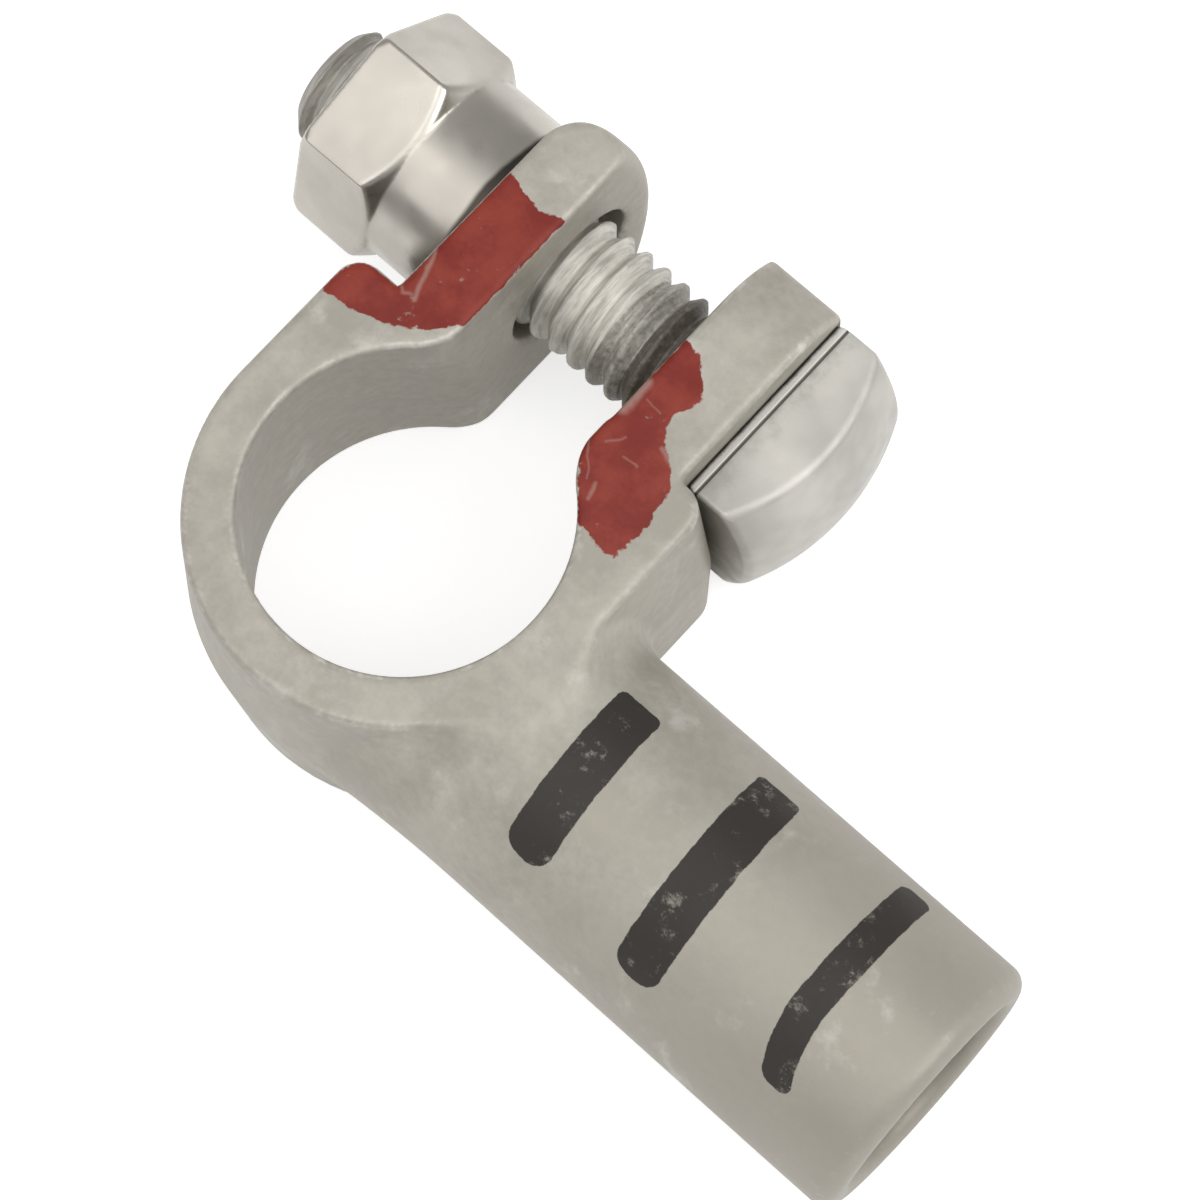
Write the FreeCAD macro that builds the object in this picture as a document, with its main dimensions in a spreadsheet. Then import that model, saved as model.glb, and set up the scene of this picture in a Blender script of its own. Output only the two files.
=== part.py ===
import FreeCAD, Part
import math
import os

import Sketcher

# Battery post clamp with a cable barrel, in millimetres.
# Z is the post axis and points up. The origin lies on it, at the clamp's bottom face.
# X is the direction of the cable barrel and of the clamp bolt, with the cable mouth at +X.
# The two ears reach along +Y. The cast body is split at mid height by its parting plane.

DRIVING = [
    ("ring_height", 17.0, "height of the ring, the ears and the shoulders"),
    ("bore_top_diameter", 18.5, "post bore at the top face, clamp open"),
    ("bore_taper", 9.0, "length over which the bore grows by one unit of diameter"),
    ("ring_wall", 3.3, "ring wall at the parting plane"),
    ("top_draft", 5.4, "draft of the outer wall above the parting plane, degrees"),
    ("bottom_draft", 2.7, "draft of the outer wall below the parting plane, degrees"),
    ("slot_width", 9.25, "gap between the ears, clamp open"),
    ("slot_corner", 1.5, "rounding where the slot opens into the bore"),
    ("nut_ledge", 3.9, "from the ring's outside in to the ear face that carries the nut"),
    ("head_ledge", 3.05, "from the ring's outside in to the ear face that carries the bolt head"),
    ("bolt_stand", 3.7, "gap between the post bore's wide end and the bolt"),
    ("ear_end", 6.65, "end of the head's ear beyond the bolt axis"),
    ("ear_crown", 6.0, "radius of that ear's upper and lower ends"),
    ("crown_run", 4.4, "length over which that ear's end curves"),
    ("nut_ear_end", 7.2, "end of the nut's ear beyond the bolt axis"),
    ("nut_ear_bow", 1.7, "how far the end of the nut's ear bows out at mid height"),
    ("ear_inner_corner", 1.2, "rounding of the end of the nut's ear on the slot's side"),
    ("ear_end_land", 0.9, "end of the nut's ear between its two roundings"),
    ("nut_gap", 0.6, "gap between the nut's corners and the shoulder below them"),
    ("nut_shoulder_corner", 1.6, "rounding of the shoulder below the nut"),
    ("head_gap", 0.35, "gap between the bolt head's flat and its shoulder"),
    ("head_shoulder_corner", 1.8, "rounding of the shoulder beside the bolt head"),
    ("barrel_diameter", 16.6, "cable barrel, outside"),
    ("barrel_inset", 0.8, "how far the barrel's -Y side lies inside the ring's"),
    ("barrel_length", 28.3, "cable barrel, from the ring's outside to the mouth"),
    ("neck_run", 12.0, "length of the neck's hollow sweep"),
    ("neck_stand", 1.0, "end of the sweep beyond the ring's outside"),
    ("neck_rise", 0.6, "how far the neck's root would stand above the ring's faces before they trim it"),
    ("lip_radius", 1.7, "outer rounding of the barrel's mouth"),
    ("cable_bore_diameter", 12.2, "cable bore"),
    ("cable_floor", 1.6, "metal between the cable bore's point and the ring's outside"),
    ("cable_mouth_chamfer", 0.5, "chamfer of the cable bore at the mouth"),
    ("drill_point", 118.0, "included angle of the cable bore's end, degrees"),
    ("bolt_diameter", 7.94, "bolt thread, outside"),
    ("bolt_hole_clearance", 0.75, "radial clearance of the bolt in the ears"),
    ("bolt_tip_stand", 2.8, "bolt end beyond the nut"),
    ("bolt_tip_chamfer", 0.8, "chamfer of the bolt end"),
    ("head_width", 12.7, "bolt head across flats"),
    ("head_height", 6.1, "bolt head from its seat to the top of the crown"),
    ("head_crown", 14.0, "radius of the head's crown"),
    ("head_seat_chamfer", 0.5, "bevel of the head's edges at the seat"),
    ("nut_width", 12.7, "nut hexagon across flats"),
    ("nut_hex_height", 5.7, "nut hexagon along the bolt"),
    ("nut_cone_length", 0.9, "bevel from the collar to the hexagon's corners"),
    ("nut_end_chamfer", 0.55, "bevel of the hexagon's corners at the free end"),
    ("nut_turn", 15.0, "turn of the nut's flats from level at rest, degrees"),
    ("collar_inset", 0.1, "round collar's surface inside the hexagon's flats"),
    ("collar_length", 5.6, "round collar along the bolt"),
    ("collar_edge", 0.3, "bevel of the collar's edge at the ear"),
    ("thread_clearance", 0.04, "radial clearance of the nut on the bolt"),
    ("nut_mouth_chamfer", 0.6, "chamfer of the nut's thread at both ends"),
    ("cut_margin", 2.0, "how far a cutting profile runs past the metal"),
]

WORKED = [
    ("half_height", "=Sizes.ring_height / 2"),
    ("upper_middle", "=Sizes.ring_height * 3 / 4"),
    ("lower_middle", "=Sizes.ring_height / 4"),
    ("above_top", "=Sizes.ring_height + Sizes.cut_margin"),
    ("bore_top_radius", "=Sizes.bore_top_diameter / 2"),
    ("bore_slope", "=1 / Sizes.bore_taper / 2"),
    ("bore_bottom_radius", "=bore_top_radius + Sizes.ring_height * bore_slope"),
    ("bore_mid_radius", "=bore_top_radius + half_height * bore_slope"),
    ("bore_above_radius", "=bore_top_radius - Sizes.cut_margin * bore_slope"),
    ("bore_below_radius", "=bore_bottom_radius + Sizes.cut_margin * bore_slope"),
    ("outer_radius", "=bore_mid_radius + Sizes.ring_wall"),
    ("outer_past", "=outer_radius + Sizes.cut_margin"),
    ("slot_half", "=Sizes.slot_width / 2"),
    ("slot_mouth", "=sqrt(bore_mid_radius ^ 2 - slot_half ^ 2)"),
    ("nut_ear_face", "=outer_radius - Sizes.nut_ledge"),
    ("head_ear_face", "=outer_radius - Sizes.head_ledge"),
    ("bolt_radius", "=Sizes.bolt_diameter / 2"),
    ("bolt_offset", "=bore_bottom_radius + Sizes.bolt_stand + bolt_radius"),
    ("bolt_hole_radius", "=bolt_radius + Sizes.bolt_hole_clearance"),
    ("ear_reach", "=bolt_offset + Sizes.ear_end"),
    ("nut_ear_reach", "=bolt_offset + Sizes.nut_ear_end"),
    ("nut_ear_edge", "=nut_ear_reach - Sizes.nut_ear_bow"),
    ("nut_ear_round", "=(half_height ^ 2 + Sizes.nut_ear_bow ^ 2) / (2 * Sizes.nut_ear_bow)"),
    ("ear_outer_corner", "=nut_ear_face - slot_half - Sizes.ear_inner_corner - Sizes.ear_end_land"),
    ("ear_past", "=max(ear_reach; nut_ear_reach) + Sizes.cut_margin"),
    ("ear_crown_start", "=ear_reach - Sizes.crown_run"),
    ("crown_drop", "=Sizes.ear_crown - sqrt(Sizes.ear_crown ^ 2 - Sizes.crown_run ^ 2)"),
    ("crown_high", "=Sizes.ring_height - crown_drop"),
    ("barrel_radius", "=Sizes.barrel_diameter / 2"),
    ("barrel_offset", "=outer_radius - Sizes.barrel_inset - barrel_radius"),
    ("barrel_reach", "=outer_radius + Sizes.barrel_length"),
    ("neck_end", "=outer_radius + Sizes.neck_stand"),
    ("neck_start", "=neck_end - Sizes.neck_run"),
    ("neck_root_radius", "=max(half_height; barrel_radius) + Sizes.neck_rise"),
    ("neck_swell", "=neck_root_radius - barrel_radius"),
    ("neck_sweep", "=(Sizes.neck_run ^ 2 + neck_swell ^ 2) / neck_swell / 2"),
    ("neck_past_high", "=half_height + neck_root_radius + Sizes.cut_margin"),
    ("neck_past_low", "=half_height - neck_root_radius - Sizes.cut_margin"),
    ("cable_bore_radius", "=Sizes.cable_bore_diameter / 2"),
    ("cable_bore_tip", "=outer_radius + Sizes.cable_floor"),
    ("cable_bore_end", "=cable_bore_tip + cable_bore_radius / tan(Sizes.drill_point * 1 deg / 2)"),
    ("cable_mouth_radius", "=cable_bore_radius + Sizes.cable_mouth_chamfer"),
    ("cable_mouth_inner", "=barrel_reach - Sizes.cable_mouth_chamfer"),
    ("head_half", "=Sizes.head_width / 2"),
    ("head_shoulder", "=bolt_offset - head_half - Sizes.head_gap"),
    ("shoulder_blank", "=head_shoulder + Sizes.cut_margin"),
    ("head_top", "=head_ear_face + Sizes.head_height"),
    ("head_past", "=head_top + Sizes.cut_margin"),
    ("head_diagonal", "=head_half * sqrt(2) + Sizes.cut_margin"),
    ("head_crown_edge", "=head_top - Sizes.head_crown + sqrt(Sizes.head_crown ^ 2 - head_diagonal ^ 2)"),
    ("nut_half", "=Sizes.nut_width / 2"),
    ("collar_radius", "=nut_half - Sizes.collar_inset"),
    ("collar_end", "=nut_ear_face + Sizes.collar_length"),
    ("nut_end", "=collar_end + Sizes.nut_hex_height"),
    ("nut_corner_radius", "=Sizes.nut_width / sqrt(3)"),
    ("nut_corner_half", "=nut_corner_radius / 2"),
    ("nut_corner_past", "=nut_corner_radius + Sizes.cut_margin"),
    ("nut_cone_end", "=collar_end + Sizes.nut_cone_length"),
    ("nut_end_bevel", "=nut_end - Sizes.nut_end_chamfer"),
    ("nut_shoulder", "=bolt_offset - nut_corner_radius - Sizes.nut_gap"),
    ("nut_bore_radius", "=bolt_radius + Sizes.thread_clearance"),
    ("nut_mouth_radius", "=nut_bore_radius + Sizes.nut_mouth_chamfer"),
    ("nut_mouth_free", "=nut_end - Sizes.nut_mouth_chamfer"),
    ("nut_mouth_seat", "=nut_ear_face + Sizes.nut_mouth_chamfer"),
    ("bolt_tip", "=nut_end + Sizes.bolt_tip_stand"),
    ("bolt_tip_shoulder", "=bolt_tip - Sizes.bolt_tip_chamfer"),
    ("bolt_tip_radius", "=bolt_radius - Sizes.bolt_tip_chamfer"),
]

DRIVING_NAMES = [row[0] for row in DRIVING]


def fill_sheets(doc):
    """Put the driving sizes and the sizes worked out from them into two sheets."""
    sizes = doc.addObject("Spreadsheet::Sheet", "Sizes")
    for row, (alias, number, note) in enumerate(DRIVING, start=1):
        sizes.set(f"A{row}", note)
        sizes.set(f"B{row}", str(number))
        sizes.setAlias(f"B{row}", alias)
    worked = doc.addObject("Spreadsheet::Sheet", "Worked")
    for row, (alias, formula) in enumerate(WORKED, start=1):
        worked.setAlias(f"B{row}", alias)
    for row, (alias, formula) in enumerate(WORKED, start=1):
        worked.set(f"A{row}", alias)
        worked.set(f"B{row}", formula)
    doc.recompute()


def value(doc, name):
    """Number of a size in either sheet; a leading minus gives its negative."""
    if name == "0":
        return 0.0
    if name.startswith("-"):
        return -value(doc, name[1:])
    sheet = doc.Sizes if name in DRIVING_NAMES else doc.Worked
    return float(sheet.get(name))


def ref(name):
    """Expression that binds a property to a size, with the same leading minus."""
    if name.startswith("-"):
        return "-" + ref(name[1:])
    return ("Sizes." if name in DRIVING_NAMES else "Worked.") + name


def new_body(doc, name):
    body = doc.addObject("PartDesign::Body", name)
    body.Label = name
    return body


def new_sketch(body, name, role, offset=None):
    """Sketch on one of the body's origin planes, moved along the plane's normal."""
    sketch = body.newObject("Sketcher::SketchObject", name)
    plane = next(item for item in body.Origin.OriginFeatures if item.Role == role)
    sketch.AttachmentSupport = [(plane, "")]
    sketch.MapMode = "FlatFace"
    if offset:
        sketch.setExpression("AttachmentOffset.Base.z", ref(offset))
    return sketch


def pin_one(sketch, kind, geo, pos, name):
    """Hold one coordinate of a point at a size measured from the sketch's origin."""
    if name == "0":
        axis = -2 if kind == "DistanceX" else -1
        sketch.addConstraint(Sketcher.Constraint("PointOnObject", geo, pos, axis))
        return
    number = value(sketch.Document, name)
    index = sketch.addConstraint(Sketcher.Constraint(kind, -1, 1, geo, pos, number))
    sketch.setExpression(f"Constraints[{index}]", ref(name))


def pin(sketch, geo, pos, x, y):
    """Hold both coordinates of a point."""
    pin_one(sketch, "DistanceX", geo, pos, x)
    pin_one(sketch, "DistanceY", geo, pos, y)


def hold_radius(sketch, geo, name):
    number = value(sketch.Document, name)
    index = sketch.addConstraint(Sketcher.Constraint("Radius", geo, number))
    sketch.setExpression(f"Constraints[{index}]", ref(name))


def point(doc, x, y):
    return FreeCAD.Vector(value(doc, x), value(doc, y), 0)


def add_lines(sketch, corners):
    """Straight lines from corner to corner, each corner held; returns their numbers."""
    doc = sketch.Document
    lines = []
    for start, end in zip(corners, corners[1:]):
        segment = Part.LineSegment(point(doc, *start), point(doc, *end))
        lines.append(sketch.addGeometry(segment, False))
    for first, second in zip(lines, lines[1:]):
        sketch.addConstraint(Sketcher.Constraint("Coincident", first, 2, second, 1))
    for line, corner in zip(lines, corners):
        pin(sketch, line, 1, *corner)
    return lines


def add_outline(sketch, corners):
    """Closed outline of straight lines."""
    lines = add_lines(sketch, corners + corners[:1])
    sketch.addConstraint(Sketcher.Constraint("Coincident", lines[-1], 2, lines[0], 1))


def add_circle(sketch, x, y, radius):
    doc = sketch.Document
    circle = Part.Circle(point(doc, x, y), FreeCAD.Vector(0, 0, 1), value(doc, radius))
    geo = sketch.addGeometry(circle, False)
    pin(sketch, geo, 3, x, y)
    hold_radius(sketch, geo, radius)


def add_pad(body, name, sketch, length, reverse=False):
    pad = body.newObject("PartDesign::Pad", name)
    pad.Profile = sketch
    pad.setExpression("Length", ref(length))
    pad.Reversed = reverse
    body.Document.recompute()
    return pad


def add_pocket(body, name, sketch, sides="Two sides", forward=False):
    """Cut right through, both ways from the sketch or one way, and make sure that metal went."""
    before = body.Shape.Volume
    pocket = body.newObject("PartDesign::Pocket", name)
    pocket.Profile = sketch
    pocket.SideType = sides
    pocket.Type = "ThroughAll"
    pocket.Type2 = "ThroughAll"
    pocket.Reversed = forward
    body.Document.recompute()
    must_shrink(body, before, name)
    return pocket


def add_groove(body, name, sketch, axis):
    """Turned cut about a line of the sketch."""
    before = body.Shape.Volume
    groove = body.newObject("PartDesign::Groove", name)
    groove.Profile = sketch
    groove.ReferenceAxis = (sketch, [axis])
    groove.Angle = 360
    body.Document.recompute()
    must_shrink(body, before, name)
    return groove


def add_revolution(body, name, sketch, axis):
    turned = body.newObject("PartDesign::Revolution", name)
    turned.Profile = sketch
    turned.ReferenceAxis = (sketch, [axis])
    turned.Angle = 360
    body.Document.recompute()
    return turned


def must_shrink(body, before, name):
    if body.Shape.Volume >= before:
        raise RuntimeError(f"{name} removed nothing")


def place(doc, x, y, z):
    return FreeCAD.Vector(value(doc, x), value(doc, y), value(doc, z))


def edges_nearest(shape, places):
    """Names of the edges whose middles lie nearest to the places."""
    names = []
    for spot in places:
        gaps = [edge.CenterOfMass.distanceToPoint(spot) for edge in shape.Edges]
        names.append(f"Edge{gaps.index(min(gaps)) + 1}")
    return names


def dress(body, kind, name, places, prop, size):
    """Fillet or chamfer on the edges nearest to the places."""
    feature = body.newObject("PartDesign::" + kind, name)
    feature.Base = (feature.BaseFeature, edges_nearest(feature.BaseFeature.Shape, places))
    feature.setExpression(prop, ref(size))
    body.Document.recompute()


# The cast body: a tapered post ring, two ears, a swept neck and the cable barrel.


def add_ring(body):
    """Ring in a U-shaped outline, whose straight legs end at the shoulder below the nut."""
    sketch = new_sketch(body, "RingPlan", "XY_Plane", "half_height")
    doc = body.Document
    lines = add_lines(sketch, [
        ("outer_radius", "0"), ("outer_radius", "nut_shoulder"),
        ("-outer_radius", "nut_shoulder"), ("-outer_radius", "0"),
    ])
    circle = Part.Circle(FreeCAD.Vector(0, 0, 0), FreeCAD.Vector(0, 0, 1), value(doc, "outer_radius"))
    arc = sketch.addGeometry(Part.ArcOfCircle(circle, math.pi, 2 * math.pi), False)
    sketch.addConstraint(Sketcher.Constraint("Coincident", arc, 3, -1, 1))
    sketch.addConstraint(Sketcher.Constraint("Coincident", arc, 1, lines[-1], 2))
    sketch.addConstraint(Sketcher.Constraint("Coincident", arc, 2, lines[0], 1))
    sketch.addConstraint(Sketcher.Constraint("PointOnObject", arc, 1, -1))
    add_drafted_halves(body, "Ring", sketch)


def add_head_shoulder(body):
    """Blank for the taller shoulder beside the bolt head, flush with the ring's leg."""
    sketch = new_sketch(body, "HeadShoulderPlan", "XY_Plane", "half_height")
    add_outline(sketch, [
        ("0", "0"), ("outer_radius", "0"), ("outer_radius", "shoulder_blank"), ("0", "shoulder_blank"),
    ])
    add_drafted_halves(body, "HeadShoulder", sketch)


def add_drafted_halves(body, name, sketch):
    """Pads up and down from the parting plane, each drawn in by its own draft."""
    for half, draft, reverse in (("Upper", "-top_draft", False), ("Lower", "-bottom_draft", True)):
        pad = add_pad(body, name + half, sketch, "half_height", reverse)
        pad.setExpression("TaperAngle", ref(draft))
        body.Document.recompute()


def add_ears(body):
    sketch = new_sketch(body, "EarPlan", "XY_Plane")
    add_outline(sketch, [
        ("-nut_ear_face", "0"), ("head_ear_face", "0"),
        ("head_ear_face", "ear_reach"), ("0", "ear_reach"),
        ("0", "nut_ear_reach"), ("-nut_ear_face", "nut_ear_reach"),
    ])
    add_pad(body, "Ears", sketch, "ring_height")


def add_barrel(body):
    """Round barrel whose root runs right into the ring."""
    sketch = new_sketch(body, "BarrelSection", "YZ_Plane")
    add_circle(sketch, "-barrel_offset", "half_height", "barrel_radius")
    add_pad(body, "Barrel", sketch, "barrel_reach")


def add_neck(body):
    """Turned neck that sweeps out from the barrel to the ring's wall."""
    sketch = barrel_profile(body, "NeckProfile")
    doc = body.Document
    lines = add_lines(sketch, [
        ("neck_start", "neck_root_radius"), ("neck_start", "0"), ("neck_end", "0"),
        ("neck_end", "barrel_radius"),
    ])
    pin(sketch, lines[-1], 2, "neck_end", "barrel_radius")
    sweep = value(doc, "neck_sweep")
    centre = point(doc, "neck_end", "barrel_radius")
    centre.y += sweep
    swing = math.asin(value(doc, "neck_run") / sweep)
    circle = Part.Circle(centre, FreeCAD.Vector(0, 0, 1), sweep)
    arc = sketch.addGeometry(Part.ArcOfCircle(circle, -math.pi / 2 - swing, -math.pi / 2), False)
    sketch.addConstraint(Sketcher.Constraint("Coincident", arc, 1, lines[0], 1))
    sketch.addConstraint(Sketcher.Constraint("Coincident", arc, 2, lines[-1], 2))
    hold_radius(sketch, arc, "neck_sweep")
    add_revolution(body, "Neck", sketch, "H_Axis")


def trim_neck(body):
    """Cut the neck level with the ring's top and bottom faces."""
    sketch = new_sketch(body, "NeckTrimProfile", "XZ_Plane")
    for near, far in (("ring_height", "neck_past_high"), ("0", "neck_past_low")):
        add_outline(sketch, [("0", near), ("neck_end", near), ("neck_end", far), ("0", far)])
    add_pocket(body, "NeckTrim", sketch)


def barrel_profile(body, name):
    """Sketch in the plane of the barrel's axis, which is its own horizontal axis."""
    sketch = new_sketch(body, name, "XY_Plane", "half_height")
    sketch.setExpression("AttachmentOffset.Base.y", ref("-barrel_offset"))
    return sketch


def round_lip(body):
    doc = body.Document
    rim = place(doc, "barrel_reach", "-barrel_offset", "half_height")
    dress(body, "Fillet", "Lip", [rim], "Radius", "lip_radius")


def cut_slot(body):
    sketch = new_sketch(body, "SlotPlan", "XY_Plane")
    add_outline(sketch, [
        ("-slot_half", "0"), ("slot_half", "0"), ("slot_half", "ear_past"), ("-slot_half", "ear_past"),
    ])
    add_pocket(body, "Slot", sketch)


def cut_post_bore(body):
    """Tapered bore, narrow at the top, as the battery post is."""
    sketch = new_sketch(body, "PostBoreProfile", "XZ_Plane")
    add_outline(sketch, [
        ("0", "-cut_margin"), ("bore_below_radius", "-cut_margin"),
        ("bore_above_radius", "above_top"), ("0", "above_top"),
    ])
    add_groove(body, "PostBore", sketch, "V_Axis")


def cut_head_seat(body):
    """Flat shoulder that keeps the square head from turning."""
    sketch = new_sketch(body, "HeadSeatPlan", "XY_Plane")
    add_outline(sketch, [
        ("head_ear_face", "head_shoulder"), ("outer_past", "head_shoulder"),
        ("outer_past", "ear_past"), ("head_ear_face", "ear_past"),
    ])
    add_pocket(body, "HeadSeat", sketch)


def add_ear_end(sketch, face, edge, past):
    """Outline of the metal taken off one corner of the ears' ends."""
    doc = sketch.Document
    lines = add_lines(sketch, [
        ("ear_reach", edge), ("ear_past", edge), ("ear_past", past),
        ("ear_crown_start", past), ("ear_crown_start", face),
    ])
    pin(sketch, lines[-1], 2, "ear_crown_start", face)
    centre = FreeCAD.Vector(value(doc, "ear_crown_start"), value(doc, face), 0)
    inward = 1 if value(doc, edge) > value(doc, face) else -1
    centre.y += inward * value(doc, "ear_crown")
    circle = Part.Circle(centre, FreeCAD.Vector(0, 0, 1), value(doc, "ear_crown"))
    swing = math.asin(value(doc, "crown_run") / value(doc, "ear_crown"))
    if inward < 0:
        arc = sketch.addGeometry(Part.ArcOfCircle(circle, math.pi / 2 - swing, math.pi / 2), False)
        first, last = 2, 1
    else:
        arc = sketch.addGeometry(Part.ArcOfCircle(circle, -math.pi / 2, swing - math.pi / 2), False)
        first, last = 1, 2
    sketch.addConstraint(Sketcher.Constraint("Coincident", arc, first, lines[-1], 2))
    sketch.addConstraint(Sketcher.Constraint("Coincident", arc, last, lines[0], 1))
    hold_radius(sketch, arc, "ear_crown")


def cut_head_ear_end(body):
    sketch = new_sketch(body, "HeadEarEndProfile", "YZ_Plane")
    add_ear_end(sketch, "ring_height", "crown_high", "above_top")
    add_ear_end(sketch, "0", "crown_drop", "-cut_margin")
    add_pocket(body, "HeadEarEnd", sketch, sides="One side", forward=True)


def cut_nut_ear_end(body):
    """Bow the end of the nut's ear in side view."""
    sketch = new_sketch(body, "NutEarEndProfile", "YZ_Plane")
    doc = sketch.Document
    lines = add_lines(sketch, [
        ("nut_ear_edge", "ring_height"), ("nut_ear_edge", "above_top"), ("ear_past", "above_top"),
        ("ear_past", "-cut_margin"), ("nut_ear_edge", "-cut_margin"), ("nut_ear_edge", "0"),
    ])
    pin(sketch, lines[-1], 2, "nut_ear_edge", "0")
    radius = value(doc, "nut_ear_round")
    centre = point(doc, "nut_ear_reach", "half_height") - FreeCAD.Vector(radius, 0, 0)
    swing = math.asin(value(doc, "half_height") / radius)
    circle = Part.Circle(centre, FreeCAD.Vector(0, 0, 1), radius)
    arc = sketch.addGeometry(Part.ArcOfCircle(circle, -swing, swing), False)
    sketch.addConstraint(Sketcher.Constraint("Coincident", arc, 1, lines[-1], 2))
    sketch.addConstraint(Sketcher.Constraint("Coincident", arc, 2, lines[0], 1))
    hold_radius(sketch, arc, "nut_ear_round")
    add_pocket(body, "NutEarEnd", sketch, sides="One side")


def cut_bolt_hole(body):
    sketch = new_sketch(body, "BoltHolePlan", "YZ_Plane")
    add_circle(sketch, "bolt_offset", "half_height", "bolt_hole_radius")
    add_pocket(body, "BoltHole", sketch)


def cut_cable_bore(body):
    """Blind bore for the cable, with a drill point and a chamfered mouth."""
    sketch = barrel_profile(body, "CableBoreProfile")
    add_outline(sketch, [
        ("cable_bore_tip", "0"), ("cable_bore_end", "cable_bore_radius"),
        ("cable_mouth_inner", "cable_bore_radius"), ("barrel_reach", "cable_mouth_radius"),
        ("barrel_reach", "0"),
    ])
    add_groove(body, "CableBore", sketch, "H_Axis")


def round_corners(body):
    """Roundings of the slot's mouth and of both shoulders, above and below the parting plane."""
    doc = body.Document
    mouth = [place(doc, side, "slot_mouth", "half_height") for side in ("slot_half", "-slot_half")]
    dress(body, "Fillet", "SlotCorners", mouth, "Radius", "slot_corner")
    heights = ("upper_middle", "lower_middle")
    nut_side = [place(doc, "-outer_radius", "nut_shoulder", height) for height in heights]
    dress(body, "Fillet", "NutShoulderCorner", nut_side, "Radius", "nut_shoulder_corner")
    head_side = [place(doc, "outer_radius", "head_shoulder", height) for height in heights]
    dress(body, "Fillet", "HeadShoulderCorner", head_side, "Radius", "head_shoulder_corner")
    inner = [place(doc, "-slot_half", "nut_ear_reach", height) for height in heights]
    dress(body, "Fillet", "NutEarInnerCorner", inner, "Radius", "ear_inner_corner")
    outer = [place(doc, "-nut_ear_face", "nut_ear_reach", height) for height in heights]
    dress(body, "Fillet", "NutEarOuterCorner", outer, "Radius", "ear_outer_corner")


def build_clamp_body(doc):
    body = new_body(doc, "clamp_body")
    add_ring(body)
    add_head_shoulder(body)
    add_ears(body)
    add_neck(body)
    trim_neck(body)
    add_barrel(body)
    round_lip(body)
    cut_slot(body)
    cut_head_seat(body)
    cut_head_ear_end(body)
    cut_nut_ear_end(body)
    cut_post_bore(body)
    round_corners(body)
    cut_bolt_hole(body)
    cut_cable_bore(body)
    return body


# The bolt: a square crowned head, whose flat sits beside the shoulder, and a threaded shank.


def place_on_bolt_axis(body):
    body.setExpression("Placement.Base.y", ref("bolt_offset"))
    body.setExpression("Placement.Base.z", ref("half_height"))


def build_clamp_bolt(doc):
    body = new_body(doc, "clamp_bolt")
    shank = new_sketch(body, "ShankProfile", "XY_Plane")
    add_outline(shank, [
        ("-bolt_tip", "0"), ("head_ear_face", "0"), ("head_ear_face", "bolt_radius"),
        ("-bolt_tip_shoulder", "bolt_radius"), ("-bolt_tip", "bolt_tip_radius"),
    ])
    add_revolution(body, "Shank", shank, "H_Axis")
    head = new_sketch(body, "HeadPlan", "YZ_Plane", "head_ear_face")
    add_outline(head, [
        ("-head_half", "-head_half"), ("head_half", "-head_half"),
        ("head_half", "head_half"), ("-head_half", "head_half"),
    ])
    add_pad(body, "Head", head, "head_height")
    bevel_head_seat(body)
    cut_head_crown(body)
    place_on_bolt_axis(body)
    return body


def bevel_head_seat(body):
    doc = body.Document
    sides = [("head_half", "0"), ("-head_half", "0"), ("0", "head_half"), ("0", "-head_half")]
    rim = [place(doc, "head_ear_face", y, z) for y, z in sides]
    dress(body, "Chamfer", "HeadSeatBevel", rim, "Size", "head_seat_chamfer")


def cut_head_crown(body):
    """Turned crown: the metal outside a sphere centred on the bolt axis."""
    sketch = new_sketch(body, "CrownProfile", "XY_Plane")
    doc = body.Document
    lines = add_lines(sketch, [
        ("head_top", "0"), ("head_past", "0"), ("head_past", "head_diagonal"),
        ("head_crown_edge", "head_diagonal"),
    ])
    pin(sketch, lines[-1], 2, "head_crown_edge", "head_diagonal")
    radius = value(doc, "head_crown")
    centre = FreeCAD.Vector(value(doc, "head_top") - radius, 0, 0)
    swing = math.asin(value(doc, "head_diagonal") / radius)
    circle = Part.Circle(centre, FreeCAD.Vector(0, 0, 1), radius)
    arc = sketch.addGeometry(Part.ArcOfCircle(circle, 0, swing), False)
    sketch.addConstraint(Sketcher.Constraint("Coincident", arc, 1, lines[0], 1))
    sketch.addConstraint(Sketcher.Constraint("Coincident", arc, 2, lines[-1], 2))
    hold_radius(sketch, arc, "head_crown")
    add_groove(body, "Crown", sketch, "H_Axis")


# The nut: a hexagon with a long round collar that bears on the ear.


def build_clamp_nut(doc):
    body = new_body(doc, "clamp_nut")
    collar = new_sketch(body, "CollarProfile", "XY_Plane")
    add_outline(collar, [
        ("-collar_end", "0"), ("-nut_ear_face", "0"),
        ("-nut_ear_face", "collar_radius"), ("-collar_end", "collar_radius"),
    ])
    add_revolution(body, "Collar", collar, "H_Axis")
    dress(body, "Chamfer", "CollarEdge", [place(doc, "-nut_ear_face", "0", "0")], "Size", "collar_edge")
    hexagon = new_sketch(body, "HexagonPlan", "YZ_Plane", "-collar_end")
    add_outline(hexagon, [
        ("nut_corner_radius", "0"), ("nut_corner_half", "nut_half"), ("-nut_corner_half", "nut_half"),
        ("-nut_corner_radius", "0"), ("-nut_corner_half", "-nut_half"), ("nut_corner_half", "-nut_half"),
    ])
    add_pad(body, "Hexagon", hexagon, "nut_hex_height", reverse=True)
    bevel_nut(body)
    bore_nut(body)
    place_on_bolt_axis(body)
    body.Placement.Rotation = FreeCAD.Rotation(FreeCAD.Vector(1, 0, 0), value(doc, "nut_turn"))
    body.setExpression("Placement.Rotation.Angle", ref("nut_turn") + " * 1 deg")
    return body


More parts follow.
